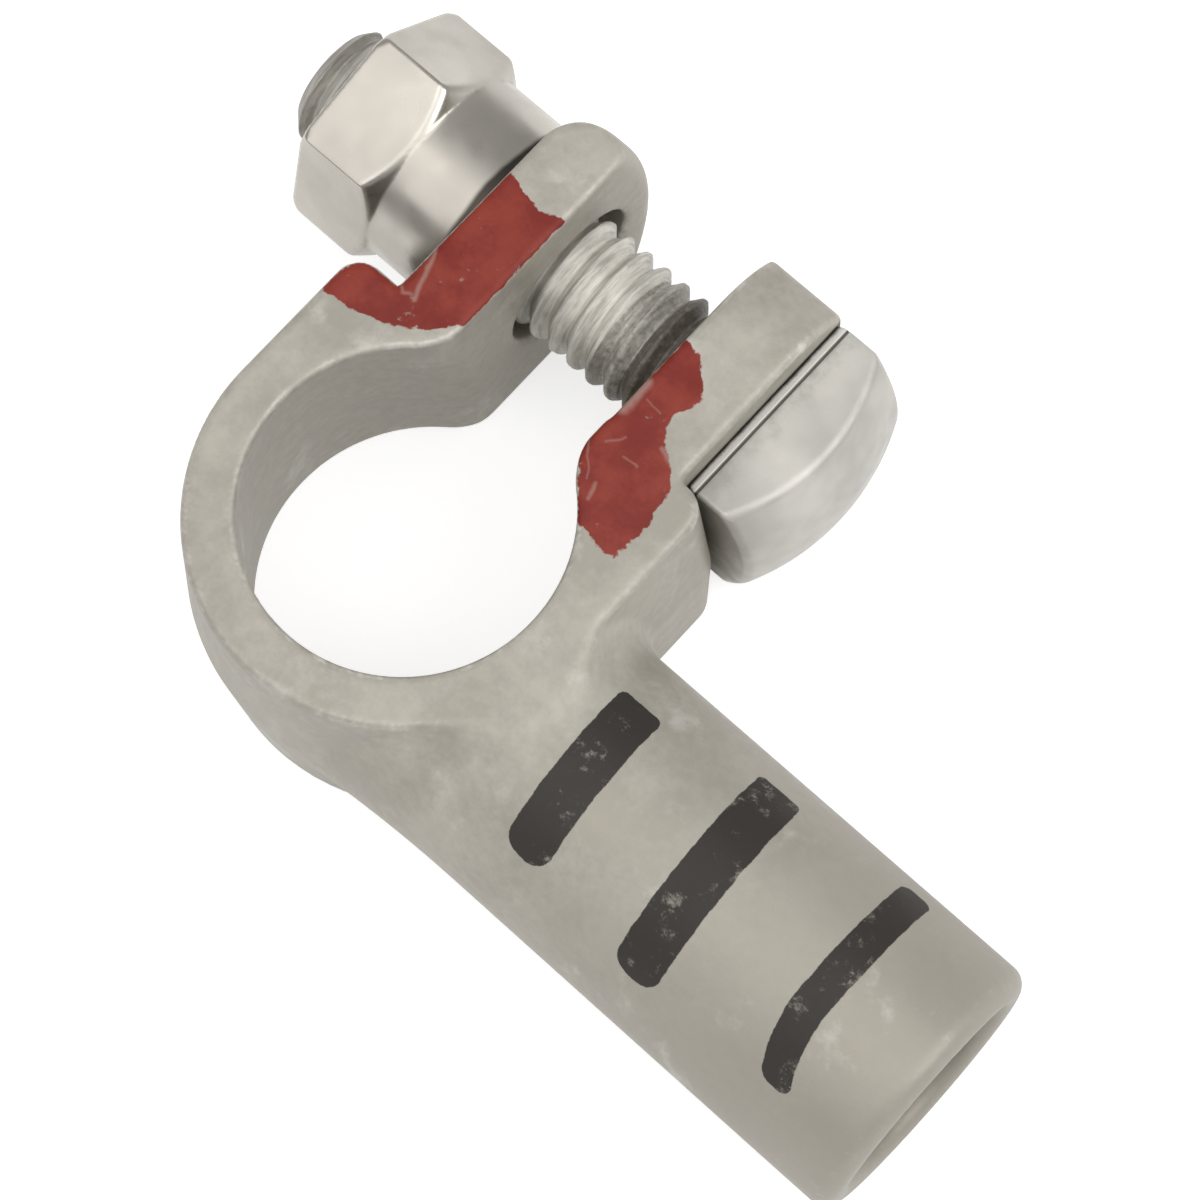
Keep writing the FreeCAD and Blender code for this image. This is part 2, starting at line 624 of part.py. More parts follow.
def bevel_nut(body):
    """Bevels that run from the collar to the corners, and off the corners at the free end."""
    sketch = new_sketch(body, "SeatBevelProfile", "XY_Plane")
    add_outline(sketch, [
        ("-collar_end", "collar_radius"), ("-collar_end", "nut_corner_past"),
        ("-nut_cone_end", "nut_corner_past"), ("-nut_cone_end", "nut_corner_radius"),
    ])
    add_groove(body, "SeatBevel", sketch, "H_Axis")
    sketch = new_sketch(body, "EndBevelProfile", "XY_Plane")
    add_outline(sketch, [
        ("-nut_end", "nut_half"), ("-nut_end_bevel", "nut_corner_radius"),
        ("-nut_end_bevel", "nut_corner_past"), ("-nut_end", "nut_corner_past"),
    ])
    add_groove(body, "EndBevel", sketch, "H_Axis")


def bore_nut(body):
    sketch = new_sketch(body, "NutBoreProfile", "XY_Plane")
    add_outline(sketch, [
        ("-nut_end", "0"), ("-nut_ear_face", "0"), ("-nut_ear_face", "nut_mouth_radius"),
        ("-nut_mouth_seat", "nut_bore_radius"), ("-nut_mouth_free", "nut_bore_radius"),
        ("-nut_end", "nut_mouth_radius"),
    ])
    add_groove(body, "NutBore", sketch, "H_Axis")


def check_document(doc):
    """Stop if any object of the document failed."""
    for item in doc.Objects:
        faults = [state for state in item.State if state in ("Invalid", "Error")]
        if faults:
            raise RuntimeError(f"{item.Name} is {faults}")


def write_piece(body):
    shape = body.Shape
    if shape.isNull() or not shape.isValid() or len(shape.Solids) != 1:
        raise RuntimeError(f"{body.Label} has no sound solid")
    shape.exportStep(f"parts/{body.Label}.step")
    print(f"{body.Label}: {shape.Volume:.1f} mm3, {len(shape.Faces)} faces, {shape.optimalBoundingBox()}")


def main():
    doc = FreeCAD.newDocument("PostClamp")
    fill_sheets(doc)
    pieces = [build_clamp_body(doc), build_clamp_bolt(doc), build_clamp_nut(doc)]
    doc.recompute()
    check_document(doc)
    os.makedirs("parts", exist_ok=True)
    for piece in pieces:
        write_piece(piece)


main()
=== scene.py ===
import math

import bmesh
import bpy
import numpy as np
from bpy.props import FloatProperty, FloatVectorProperty, IntProperty, PointerProperty
from mathutils import Matrix, Vector


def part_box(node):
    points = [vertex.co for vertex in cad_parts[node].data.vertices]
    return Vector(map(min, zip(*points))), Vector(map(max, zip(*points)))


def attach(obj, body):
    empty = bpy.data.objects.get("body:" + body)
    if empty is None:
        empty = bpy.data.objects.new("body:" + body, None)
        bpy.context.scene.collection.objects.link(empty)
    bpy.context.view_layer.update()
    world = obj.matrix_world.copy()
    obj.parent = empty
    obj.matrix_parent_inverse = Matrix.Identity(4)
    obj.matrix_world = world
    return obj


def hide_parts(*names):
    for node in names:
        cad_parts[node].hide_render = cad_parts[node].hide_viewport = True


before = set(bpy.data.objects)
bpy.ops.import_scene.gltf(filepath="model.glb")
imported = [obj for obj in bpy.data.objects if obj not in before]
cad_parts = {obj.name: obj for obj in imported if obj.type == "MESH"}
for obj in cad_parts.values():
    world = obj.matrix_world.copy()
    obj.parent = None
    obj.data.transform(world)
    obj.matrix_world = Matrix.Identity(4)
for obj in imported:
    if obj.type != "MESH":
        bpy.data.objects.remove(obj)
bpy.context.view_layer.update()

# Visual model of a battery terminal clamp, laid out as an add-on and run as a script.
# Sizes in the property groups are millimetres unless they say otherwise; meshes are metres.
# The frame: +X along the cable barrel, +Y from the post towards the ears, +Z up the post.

bl_info = {
    "name": "Battery terminal clamp",
    "version": (1, 0, 0),
    "blender": (4, 5, 0),
    "location": "3D View > Sidebar > Clamp",
    "description": "Builds a cast battery terminal clamp with its bolt and nut",
    "category": "Add Mesh",
}

MM = 0.001


def frame_box(node):
    """Lowest and highest corner of a CAD node, in millimetres."""
    return [[round(place / MM, 4) for place in corner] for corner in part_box(node)]


# What the frame gives, in millimetres.
BODY_LOW, BODY_HIGH = frame_box("clamp_body")
BOLT_LOW, BOLT_HIGH = frame_box("clamp_bolt")
NUT_LOW, NUT_HIGH = frame_box("clamp_nut")
HEIGHT = round(BODY_HIGH[2] - BODY_LOW[2], 4)
BOLT_OFFSET = round((BOLT_LOW[1] + BOLT_HIGH[1]) / 2, 4)
HEAD_HALF = round((BOLT_HIGH[1] - BOLT_LOW[1]) / 2, 4)
# The bolt head's seat on its ear, from the post's axis.
HEAD_SEAT = 9.9722


def length(name, default, description, low=0.0):
    """A size in millimetres."""
    return FloatProperty(name=name, description=description, default=default, min=low, precision=3)


def angle(name, degrees, description):
    """An angle, given in degrees."""
    return FloatProperty(name=name, description=description, default=math.radians(degrees), subtype="ANGLE")


def amount(name, default, description):
    """A plain number."""
    return FloatProperty(name=name, description=description, default=default)


def triple(name, default, description):
    """A place or a direction."""
    return FloatVectorProperty(name=name, description=description, default=default, size=3)


def tone(name, default, description):
    """A colour."""
    return FloatVectorProperty(
        name=name, description=description, default=default, subtype="COLOR", size=3, min=0.0, max=1.0,
    )


# Sizes and colours that a user would change.


class CastBodySizes(bpy.types.PropertyGroup):
    height: length("Height", HEIGHT, "Height of the ring and the ears")
    outside: length("Outside radius", 13.0222, "Radius of the ring at its parting plane")
    upper_draft: angle("Upper draft", 5.4, "Lean of the walls above the parting plane")
    lower_draft: angle("Lower draft", 2.7, "Lean of the walls below the parting plane")
    bore_top: length("Bore at the top", 9.25, "Radius of the post bore at the top face")
    bore_bottom: length("Bore at the bottom", 10.1944, "Radius of the post bore at the bottom face")
    slot_half: length("Half slot", 4.625, "Half of the gap between the ears")
    slot_corner: length("Slot corner", 1.5, "Rounding where the slot opens into the bore")
    nut_face: length("Nut face", -NUT_HIGH[0], "Face of the ear that carries the nut, from the post's axis")
    head_face: length("Head face", HEAD_SEAT, "Face of the ear that carries the bolt head")
    nut_step: length("Nut shoulder", 9.9321, "Shoulder beside the nut, from the post's axis")
    nut_step_corner: length("Nut shoulder corner", 1.6, "Rounding of the shoulder beside the nut")
    head_step: length("Head shoulder", 11.1644, "Shoulder beside the bolt head")
    head_step_corner: length("Head shoulder corner", 1.8, "Rounding of the shoulder beside the head")
    nut_ear_end: length("Nut ear end", 25.0644, "End of the nut's ear at mid height")
    nut_ear_round: length("Nut ear bow", 22.1, "Radius of that end in side view")
    nut_ear_outer: length("Nut ear outer corner", 2.4, "Rounding of that end on the nut's side")
    nut_ear_inner: length("Nut ear inner corner", 1.2, "Rounding of that end on the slot's side")
    head_ear_end: length("Head ear end", 24.5144, "End of the head's ear")
    head_ear_crown: length("Head ear crown", 6.0, "Radius of that end's upper and lower edges")
    head_ear_run: length("Head ear crown run", 4.4, "Length over which that end curves")
    bolt_offset: length("Bolt offset", BOLT_OFFSET, "Bolt axis from the post's axis")
    bolt_hole: length("Bolt hole", 4.72, "Radius of the bolt holes")
    barrel_offset: length("Barrel offset", -3.9222, "Barrel axis from the post's axis", low=-50.0)
    barrel: length("Barrel", 8.3, "Radius of the cable barrel")
    barrel_end: length("Barrel end", BODY_HIGH[0], "Mouth of the barrel from the post's axis")
    lip: length("Lip", 1.15, "Rounding of the barrel's mouth")
    neck_end: length("Neck end", 14.0222, "Where the neck meets the barrel")
    neck_run: length("Neck run", 12.0, "Length of the neck's sweep")
    neck_rise: length("Neck rise", 0.8, "What the neck's root adds to the barrel's radius")
    neck_fillet: length("Neck fillet", 1.1, "Soft join of the ring's wall and the neck")
    neck_spread: length("Neck spread", 1.9, "What that join gains over the barrel's crest")
    cable_bore: length("Cable bore", 6.1, "Radius of the cable bore")
    cable_tip: length("Cable drill tip", 14.6222, "Tip of the cable bore")
    drill_half_angle: angle("Drill half angle", 59.0, "Lean of the bore's conical end from its axis")
    mouth_edge: length("Mouth edge", 0.85, "Rounding of the cable bore's edge at the mouth")
    edge: length("Edge", 0.45, "Rounding of the outer edges")
    inner_edge: length("Inner edge", 0.35, "Rounding of the edges of the bore, slot and holes")
    step: length("Mesh step", 0.28, "Spacing of the mesh", low=0.1)


class BoltSizes(bpy.types.PropertyGroup):
    seat: length("Seat", HEAD_SEAT, "Head's seat from the post's axis")
    top: length("Top", BOLT_HIGH[0], "Top of the head's crown")
    half: length("Half width", HEAD_HALF, "Half of the square head")
    crown: length("Crown", 14.0, "Radius of the crown")
    crown_edge: length("Crown edge", 0.38, "Rounding between the crown and the sides")
    corner: length("Corner", 0.28, "Rounding of the head's corners")
    seat_band: length("Seat band", 0.65, "Width of the narrow band around the seat")
    seat_drop: length("Seat drop", 0.22, "Drop of that band at the seat")
    seat_line: length("Seat line", 0.11, "Radius of the fine groove above that band")
    seat_edge: length("Seat edge", 0.08, "Rounding of the seat's edge")
    tip: length("Tip", -BOLT_LOW[0], "Tip of the bolt from the post's axis")
    tip_radius: length("Tip radius", 3.17, "Radius of the tip's flat end")
    major: length("Major radius", 3.97, "Radius of the thread's crests")
    pitch: length("Pitch", 1.4111, "Pitch of the thread")
    depth: length("Depth", 0.66, "Depth of the thread")
    rows: IntProperty(name="Rows", description="Mesh rows along the thread", default=520, min=40)
    segments: IntProperty(name="Segments", description="Mesh segments around it", default=96, min=12)
    step: length("Mesh step", 0.105, "Spacing of the head's mesh", low=0.05)


class NutSizes(bpy.types.PropertyGroup):
    face: length("Face", -NUT_HIGH[0], "Bearing face of the collar from the post's axis")
    collar: length("Collar radius", 6.25, "Radius of the round collar")
    collar_end: length("Collar end", 14.7222, "Where the collar meets the hexagon")
    cone_end: length("Cone end", 15.6222, "Where the hexagon's corners start")
    end: length("End", -NUT_LOW[0], "Outer end of the hexagon")
    flat: length("Half flats", 6.35, "Half of the distance across the flats")
    corner: length("Corner radius", 7.3323, "Radius at the hexagon's corners")
    end_bevel: length("End bevel", 0.35, "Width of the bevel at the outer end, from the corners inwards")
    end_edge: length("End edge", 0.12, "Rounding between that bevel and the end")
    bevel_edge: length("Bevel edge", 0.18, "Rounding between that bevel and the flats")
    cone_edge: length("Cone edge", 0.25, "Rounding between the cone and the flats")
    collar_edge: length("Collar edge", 0.3, "Rounding of the collar's bearing face")
    turn: angle("Turn", 15.0, "Turn of the hexagon about the bolt")
    bore: length("Bore", 4.01, "Radius of the nut's bore")
    mouth: length("Mouth bevel", 0.6, "Bevel of the bore's ends")
    step: length("Mesh step", 0.17, "Spacing of the nut's mesh", low=0.05)


class ClampColours(bpy.types.PropertyGroup):
    tin: tone("Tin", (0.475, 0.445, 0.385), "Dull tinned casting")
    tin_dark: tone("Worn tin", (0.365, 0.338, 0.287), "Darker patches of the casting")
    paint: tone("Paint", (0.185, 0.009, 0.003), "Red paint beside the slot")
    paint_faded: tone("Faded paint", (0.255, 0.028, 0.012), "Thin, worn paint")
    ink: tone("Ink", (0.024, 0.018, 0.014), "Black ink on the barrel")
    bolt: tone("Bolt", (0.625, 0.60, 0.55), "Plated bolt")
    thread: tone("Thread", (0.80, 0.77, 0.70), "Rolled thread")
    nut: tone("Nut", (0.545, 0.511, 0.457), "Bright nut")


class StageSettings(bpy.types.PropertyGroup):
    camera_place: triple("Camera place", (55.92, -34.57, 222.94), "Camera from the post's axis, millimetres")
    camera_right: triple("Camera right", (0.7383, 0.6735, -0.0364), "Direction to the right of the picture")
    camera_up: triple("Camera up", (-0.6414, 0.7177, 0.2709), "Direction to the top of the picture")
    lens: amount("Lens", 120.006, "Focal length in millimetres")
    world_level: amount("World level", 0.43, "Strength of the surroundings")
    key_power: amount("Key power", 1.22, "Power of the key light, in watts")
    fill_power: amount("Fill power", 0.78, "Power of the fill light, in watts")
    top_power: amount("Top power", 0.78, "Power of the light overhead, in watts")
    floor_level: amount("Floor level", 0.66, "Own glow of the floor in the picture")


# Distance fields: negative inside, nought on the surface, in millimetres.

# How far outside the casting, and outside the head and the nut, their nets start.
CAST_MARGIN = 1.0
MARGIN = 0.6


def round_meet(a, b, r):
    """Where two walls meet at an outer edge, rounded."""
    return np.hypot(np.maximum(a + r, 0), np.maximum(b + r, 0)) + np.minimum(np.maximum(a, b), -r)


def round_join(a, b, r):
    """Two solids joined, with a fillet in their corner."""
    return np.maximum(np.minimum(a, b), r) - np.hypot(np.maximum(r - a, 0), np.maximum(r - b, 0))


def ramp(place, start, run):
    """Nought before the start, then rising evenly to one over the run."""
    return np.clip((place - start) / run, 0, 1)


def net_from_field(field, low, high, step):
    """Closed quad net around the inside of a field: one point for each cell that the surface crosses."""
    counts = [int(math.ceil((h - l) / step)) + 1 for l, h in zip(low, high)]
    axes = [l + step * np.arange(n) for l, n in zip(low, counts)]
    values = field(*np.meshgrid(*axes, indexing="ij"))
    inside = values < 0
    cells = tuple(n - 1 for n in counts)
    total = np.zeros(cells + (3,))
    hits = np.zeros(cells)
    crossings = []
    for axis in range(3):
        first = tuple(slice(None, -1) if a == axis else slice(None) for a in range(3))
        second = tuple(slice(1, None) if a == axis else slice(None) for a in range(3))
        crossed = np.argwhere(inside[first] != inside[second])
        i, j, k = crossed.T
        ends = crossed.copy()
        ends[:, axis] += 1
        v0, v1 = values[i, j, k], values[tuple(ends.T)]
        place = np.stack([axes[a][crossed[:, a]] for a in range(3)], axis=1)
        place[:, axis] += step * v0 / (v0 - v1)
        others = [a for a in range(3) if a != axis]
        corners = []
        for da, db in ((-1, -1), (0, -1), (0, 0), (-1, 0)):
            cell = crossed.copy()
            cell[:, others[0]] += da
            cell[:, others[1]] += db
            np.add.at(total, tuple(cell.T), place)
            np.add.at(hits, tuple(cell.T), 1)
            corners.append(cell)
        crossings.append((axis, inside[i, j, k], corners))
    active = np.argwhere(hits > 0)
    number = np.full(cells, -1)
    number[tuple(active.T)] = np.arange(len(active))
    points = total[tuple(active.T)] / hits[tuple(active.T)][:, None]
    quads = []
    for axis, outward, corners in crossings:
        quad = np.stack([number[tuple(c.T)] for c in corners], axis=1)
        forward = outward if axis != 1 else ~outward
        quads.append(np.where(forward[:, None], quad, quad[:, ::-1]))
    return points, np.concatenate(quads)


def slope(field, points, reach=0.01):
    """Gradient of a field at the points."""
    out = np.empty_like(points)
    for axis in range(3):
        ahead, behind = points.copy(), points.copy()
        ahead[:, axis] += reach
        behind[:, axis] -= reach
        out[:, axis] = (field(*ahead.T) - field(*behind.T)) / (2 * reach)
    return out


def settle(field, points, rounds=2, stride=0.3, least=0.25):
    """Move the points onto the field's surface, by a stride a round at most."""
    for _ in range(rounds):
        grad = slope(field, points)
        size = np.maximum((grad ** 2).sum(axis=1), least)
        points = points - np.clip(field(*points.T) / size, -stride, stride)[:, None] * grad
    return points


def neighbour_middle(points, quads):
    """Middle of each point's neighbours."""
    start, end = quads.ravel(), np.roll(quads, -1, axis=1).ravel()
    total, count = np.zeros_like(points), np.zeros(len(points))
    for a, b in ((start, end), (end, start)):
        for axis in range(3):
            total[:, axis] += np.bincount(a, weights=points[b, axis], minlength=len(points))
        count += np.bincount(a, minlength=len(points))
    return total / count[:, None]


def skin(field, low, high, step, rounds=5):
    """Even quad net on the field's surface, and how sharply the surface turns at each point."""
    points, quads = net_from_field(field, low, high, step)
    points = settle(field, points)
    for _ in range(rounds):
        points = settle(field, 0.5 * points + 0.5 * neighbour_middle(points, quads), 1)
    points = settle(field, points)
    grad = slope(field, points)
    grad /= np.maximum(np.linalg.norm(grad, axis=1), 1e-6)[:, None]
    turn = -4 * ((neighbour_middle(points, quads) - points) * grad).sum(axis=1) / step ** 2
    return points, quads, turn


def new_object(name, data):
    """Object with its data, in the scene."""
    made = bpy.data.objects.new(name, data)
    bpy.context.scene.collection.objects.link(made)
    return made


def mesh_piece(name, points, quads, attributes=()):
    """Object at the origin with its place in its mesh; attributes are one number for each point."""
    mesh = bpy.data.meshes.new(name)
    mesh.vertices.add(len(points))
    mesh.vertices.foreach_set("co", (points * MM).astype(np.float32).ravel())
    mesh.loops.add(quads.size)
    mesh.loops.foreach_set("vertex_index", quads.astype(np.int32).ravel())
    mesh.polygons.add(len(quads))
    mesh.polygons.foreach_set("loop_start", np.arange(0, quads.size, 4, dtype=np.int32))
    mesh.update(calc_edges=True)
    mesh.polygons.foreach_set("use_smooth", np.ones(len(quads), dtype=bool))
    for label, numbers in attributes:
        layer = mesh.attributes.new(label, "FLOAT", "POINT")
        layer.data.foreach_set("value", np.asarray(numbers, dtype=np.float32))
    mesh.update()
    return new_object(name, mesh)


# The cast body.


def tube_field(x, y, z, s):
    """Neck and cable barrel, one turned form about the barrel's axis."""
    sweep = ramp(-x, -s.neck_end, s.neck_run)
    radius = s.barrel + s.neck_rise * sweep ** 2
    wall = np.hypot(y - s.barrel_offset, z - s.height / 2) - radius
    return np.maximum(round_meet(wall, x - s.barrel_end, s.lip), -x)


def ring_wall(x, y, z, s):
    """Drafted wall of the ring with its straight legs and the two shoulders."""
    rise = z - s.height / 2
    lean = np.where(rise > 0, math.tan(s.upper_draft) * rise, -math.tan(s.lower_draft) * rise)
    side = np.where(y < 0, np.hypot(x, y), np.abs(x)) - s.outside + lean
    nut_side = round_meet(side, y - s.nut_step + lean, s.nut_step_corner)
    head_side = round_meet(side, y - s.head_step, s.head_step_corner)
    return np.where(x < 0, nut_side, head_side)


def nut_ear(x, y, z, s):
    """The nut's ear, with its bowed end."""
    centre = s.nut_ear_end - s.nut_ear_round
    end = np.hypot(y - centre, z - s.height / 2) - s.nut_ear_round
    end = np.where(y > centre, end, y - s.nut_ear_end)
    outer = round_meet(-x - s.nut_face, end, s.nut_ear_outer)
    inner = round_meet(x + s.slot_half, end, s.nut_ear_inner)
    return np.maximum(np.maximum(outer, inner), -y)


def head_ear(x, y, z, s):
    """The bolt head's ear, without its crown."""
    sides = np.maximum(x - s.head_face, s.slot_half - x)
    return np.maximum(round_meet(sides, y - s.head_ear_end, s.edge), -y)


def end_faces(x, y, z, s):
    """Top and bottom faces, with the crown that they take over the end of the head's ear."""
    up = np.abs(z - s.height / 2)
    rise = np.maximum(up - s.height / 2 + s.head_ear_crown, 0)
    along = np.maximum(y - s.head_ear_end + s.head_ear_run, 0)
    crown = np.hypot(rise, along) - s.head_ear_crown
    return np.where((x > 0) & (along > 0), crown, up - s.height / 2)


# The neck's soft join: where it grows along X, where its gain over the crest does, and where that fades.
JOIN_FROM, JOIN_RUN = 2.5, 5.5
CREST_FROM, CREST_RUN = 8.0, 4.5
FADE_AT, FADE_RUN = 5.0, 3.5
# Fillets between the walls and the ears: everywhere, and more from just below the nut's shoulder.
HAIRLINE = 0.02
EAR_FILLET = 0.35
SHOULDER_BACK = 0.5


def cast_field(x, y, z, s):
    """The whole casting with its bores, slot and holes."""
    half = s.height / 2
    fillet = HAIRLINE + s.neck_fillet * ramp(x, JOIN_FROM, JOIN_RUN) ** 2
    fillet = fillet + s.neck_spread * ramp(x, CREST_FROM, CREST_RUN) ** 2 * ramp(-y, -FADE_AT, FADE_RUN)
    walls = round_join(ring_wall(x, y, z, s), tube_field(x, y, z, s), fillet)
    ears = np.minimum(nut_ear(x, y, z, s), head_ear(x, y, z, s))
    walls = round_join(walls, ears, HAIRLINE + EAR_FILLET * (y > s.nut_step - SHOULDER_BACK))
    solid = round_meet(walls, end_faces(x, y, z, s), s.edge)
    bore_radius = s.bore_bottom - z * (s.bore_bottom - s.bore_top) / s.height
    bore = np.hypot(x, y) - bore_radius
    slot = np.maximum(np.abs(x) - s.slot_half, -y)
    solid = round_meet(solid, round_meet(-bore, -slot, s.slot_corner), s.inner_edge)
    hole = np.hypot(y - s.bolt_offset, z - half) - s.bolt_hole
    solid = round_meet(solid, -hole, s.inner_edge)
    around = np.hypot(y - s.barrel_offset, z - half)
    lean = s.drill_half_angle
    tip = (around - (x - s.cable_tip) * math.tan(lean)) * math.cos(lean)
    cable = np.maximum(around - s.cable_bore, tip)
    return round_meet(solid, -cable, s.mouth_edge)


def polygon_depth(x, y, corners):
    """How deep a point lies inside a polygon; negative outside."""
    nearest = np.full(x.shape, np.inf)
    within = np.zeros(x.shape, dtype=bool)
    for (ax, ay), (bx, by) in zip(corners, corners[1:] + corners[:1]):
        dx, dy = bx - ax, by - ay
        along = np.clip(((x - ax) * dx + (y - ay) * dy) / (dx * dx + dy * dy), 0, 1)
        nearest = np.minimum(nearest, np.hypot(x - ax - along * dx, y - ay - along * dy))
        if ay != by:
            crosses = ((ay > y) != (by > y)) & (x < ax + (y - ay) * dx / dy)
            within ^= crosses
    return np.where(within, nearest, -nearest)


def strip_depth(x, arc, scale, strip, corner):
    """How deep a point lies inside a rounded strip laid around the barrel; arc is in degrees."""
    start, end, low, high, lean = strip
    x = x + lean * (arc - high) * scale
    across = np.abs(x - (start + end) / 2) - (end - start) / 2
    along = (np.abs(arc - (low + high) / 2) - (high - low) / 2) * scale
    return -round_meet(across, along, corner)


# Outlines of the red paint on the top face, in millimetres.
NUT_SIDE_PAINT = [
    (-13.6, 6.2), (-11.9, 6.2), (-10.1, 6.3), (-8.6, 6.75), (-7.3, 7.4), (-6.0, 8.4), (-4.7, 9.9),
    (-3.0, 10.2), (-3.0, 17.6), (-4.9, 18.0), (-6.2, 17.6), (-7.6, 17.7), (-8.9, 18.3), (-11.0, 18.6),
    (-14.0, 14.0),
]
HEAD_SIDE_PAINT = [
    (3.0, 17.6), (4.4, 17.4), (6.2, 17.0), (7.35, 16.0), (7.85, 15.3), (7.7, 14.4), (7.25, 13.7),
    (7.5, 12.9), (8.0, 12.2), (9.1, 11.4), (10.0, 10.4), (10.45, 8.0), (10.3, 5.5), (8.9, 5.3),
    (7.4, 5.7), (6.4, 6.6), (5.5, 7.8), (3.0, 8.6),
]
# How far the paint reaches below that face.
PAINT_DEPTH = 0.2

# Black strips around the barrel: start and end along X in millimetres, lowest and highest angle from the
# top in degrees, and the lean along X for each millimetre around. Corners: at the low and the high end.
INK_BLOCKS = ((15.15, 18.05, -43.5, 34.5, 0.055), (23.55, 26.5, -51.5, 50.0, 0.052))
BLOCK_CORNERS = (1.2, 0.5)
INK_STRIPE = (33.05, 35.1, -45.0, 60.0, 0.0)
STRIPE_CORNER = 0.7
# The stripe's low end bends along X by this much, from one angle and over a run of degrees.
STRIPE_BEND, BEND_FROM, BEND_RUN = 1.15, 6.0, 37.0


def paint_depths(points, s):
    """Depths of the red paint and of the black ink on the casting."""
    x, y, z = points.T
    red = np.maximum(polygon_depth(x, y, NUT_SIDE_PAINT), polygon_depth(x, y, HEAD_SIDE_PAINT))
    red = np.minimum(red, 2 * (z - s.height + PAINT_DEPTH))
    arc = np.degrees(np.arctan2(y - s.barrel_offset, z - s.height / 2))
    scale = math.radians(1) * s.barrel
    bend = STRIPE_BEND * (np.clip(-BEND_FROM - arc, 0, 60) / BEND_RUN) ** 2
    ink = strip_depth(x - bend, arc, scale, INK_STRIPE, STRIPE_CORNER)
    corner = np.where(arc < 0, *BLOCK_CORNERS)
    for block in INK_BLOCKS:
        ink = np.maximum(ink, strip_depth(x, arc, scale, block, corner))
    return red, ink


class CLAMP_OT_cast_body(bpy.types.Operator):
    """Build the cast body with softened edges and the depths of its paint and ink"""
    bl_idname = "clamp.cast_body"
    bl_label = "Cast Body"

    def execute(self, context):
        s = context.scene.clamp_body_sizes
        low = (-s.outside - CAST_MARGIN, -s.outside - CAST_MARGIN, -CAST_MARGIN)
        high = (s.barrel_end + CAST_MARGIN, s.nut_ear_end + CAST_MARGIN, s.height + CAST_MARGIN)
        points, quads, turn = skin(lambda x, y, z: cast_field(x, y, z, s), low, high, s.step)
        red, ink = paint_depths(points, s)
        head = head_field(*points.T, context.scene.clamp_bolt_sizes, s.bolt_offset, s.height / 2)
        collar = nut_field(*points.T, context.scene.clamp_nut_sizes, s.bolt_offset, s.height / 2)
        seam = np.minimum(head, collar)
        marks = (("turn", turn), ("paint", red), ("ink", ink), ("seam", seam))
        piece = mesh_piece("cast_body", points, quads, marks)
        piece.data.materials.append(tinned_casting(context.scene.clamp_colours))
        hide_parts("clamp_body")
        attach(piece, "clamp")
        return {"FINISHED"}


# The bolt: a crowned square head and a threaded shank.


def piece_on_bolt(name, field, s, body, start, end, half):
    """Piece on the bolt's axis from start to end, with how sharply its surface turns, which drives its
    rubbed wear and painted edge highlights, and its distance from the casting.
    """
    axis = (body.bolt_offset, body.height / 2)
    low = (start - MARGIN, *(c - half - MARGIN for c in axis))
    high = (end + MARGIN, *(c + half + MARGIN for c in axis))
    points, quads, turn = skin(lambda x, y, z: field(x, y, z, s, *axis), low, high, s.step)
    seam = cast_field(*points.T, body)
    return mesh_piece(name, points, quads, (("turn", turn), ("seam", seam)))


# How far the groove's middle stands out from the head's side, as a share of its radius.
GROOVE_OUT = 0.3


def head_field(x, y, z, s, offset, mid):
    """Square head with a crowned end, and a groove and a narrow sloped band around its seat."""
    across, up = np.abs(y - offset), np.abs(z - mid)
    square = round_meet(across - s.half, up - s.half, s.corner)
    outer = np.maximum(across, up) - s.half
    band = outer + (s.seat + s.seat_band - x) * s.seat_drop / s.seat_band
    line = np.hypot(x - s.seat - s.seat_band, outer - GROOVE_OUT * s.seat_line) - s.seat_line
    crown = np.sqrt((x - s.top + s.crown) ** 2 + across ** 2 + up ** 2) - s.crown
    crown = np.where(x > s.top - s.crown, crown, -1.0)
    body = round_meet(np.maximum(square, band), crown, s.crown_edge)
    return round_meet(np.maximum(body, -line), s.seat - x, s.seat_edge)


class CLAMP_OT_bolt_head(bpy.types.Operator):
    """Build the square bolt head with its crown and the bevel of its seat"""
    bl_idname = "clamp.bolt_head"
    bl_label = "Bolt Head"

    def execute(self, context):
        body = context.scene.clamp_body_sizes
        s = context.scene.clamp_bolt_sizes
        piece = piece_on_bolt("bolt_head", head_field, s, body, s.seat, s.top, s.half)
        piece.data.materials.append(plated_steel(context.scene.clamp_colours))
        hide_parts("clamp_bolt")
        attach(piece, "bolt")
        return {"FINISHED"}


# Layout of the node trees: nodes stand in columns of this many, in the order of their making.
NODE_ROWS, NODE_WIDTH, NODE_HEIGHT = 12, 220, 180


def add_node(tree, kind, given=None, **settings):
    """Node of a kind with its settings; given holds what its inputs take."""
    column, row = divmod(len(tree.nodes), NODE_ROWS)
    node = tree.nodes.new(kind)
    node.location = (NODE_WIDTH * column, -NODE_HEIGHT * row)
    for key, setting in settings.items():
        setattr(node, key, setting)
    for key, source in (given or {}).items():
        feed(tree, node.inputs[key], source)
    return node


def feed(tree, target, source):
    """Link a node's output to a socket, or write a plain number or vector into it."""
    if isinstance(source, bpy.types.NodeSocket):
        tree.links.new(source, target)
    else:
        target.default_value = source


def calc(tree, operation, *sources, clamp=False):
    """Maths node; its output."""
    node = add_node(tree, "ShaderNodeMath", dict(enumerate(sources)), operation=operation, use_clamp=clamp)
    return node.outputs[0]


def vector(tree, operation, *sources):
    """Vector maths node."""
    return add_node(tree, "ShaderNodeVectorMath", dict(enumerate(sources)), operation=operation)


# The thread's profile, in shares of half a pitch: where the root ends and where the crest starts.
ROOT_END, CREST_START = 0.08, 0.86
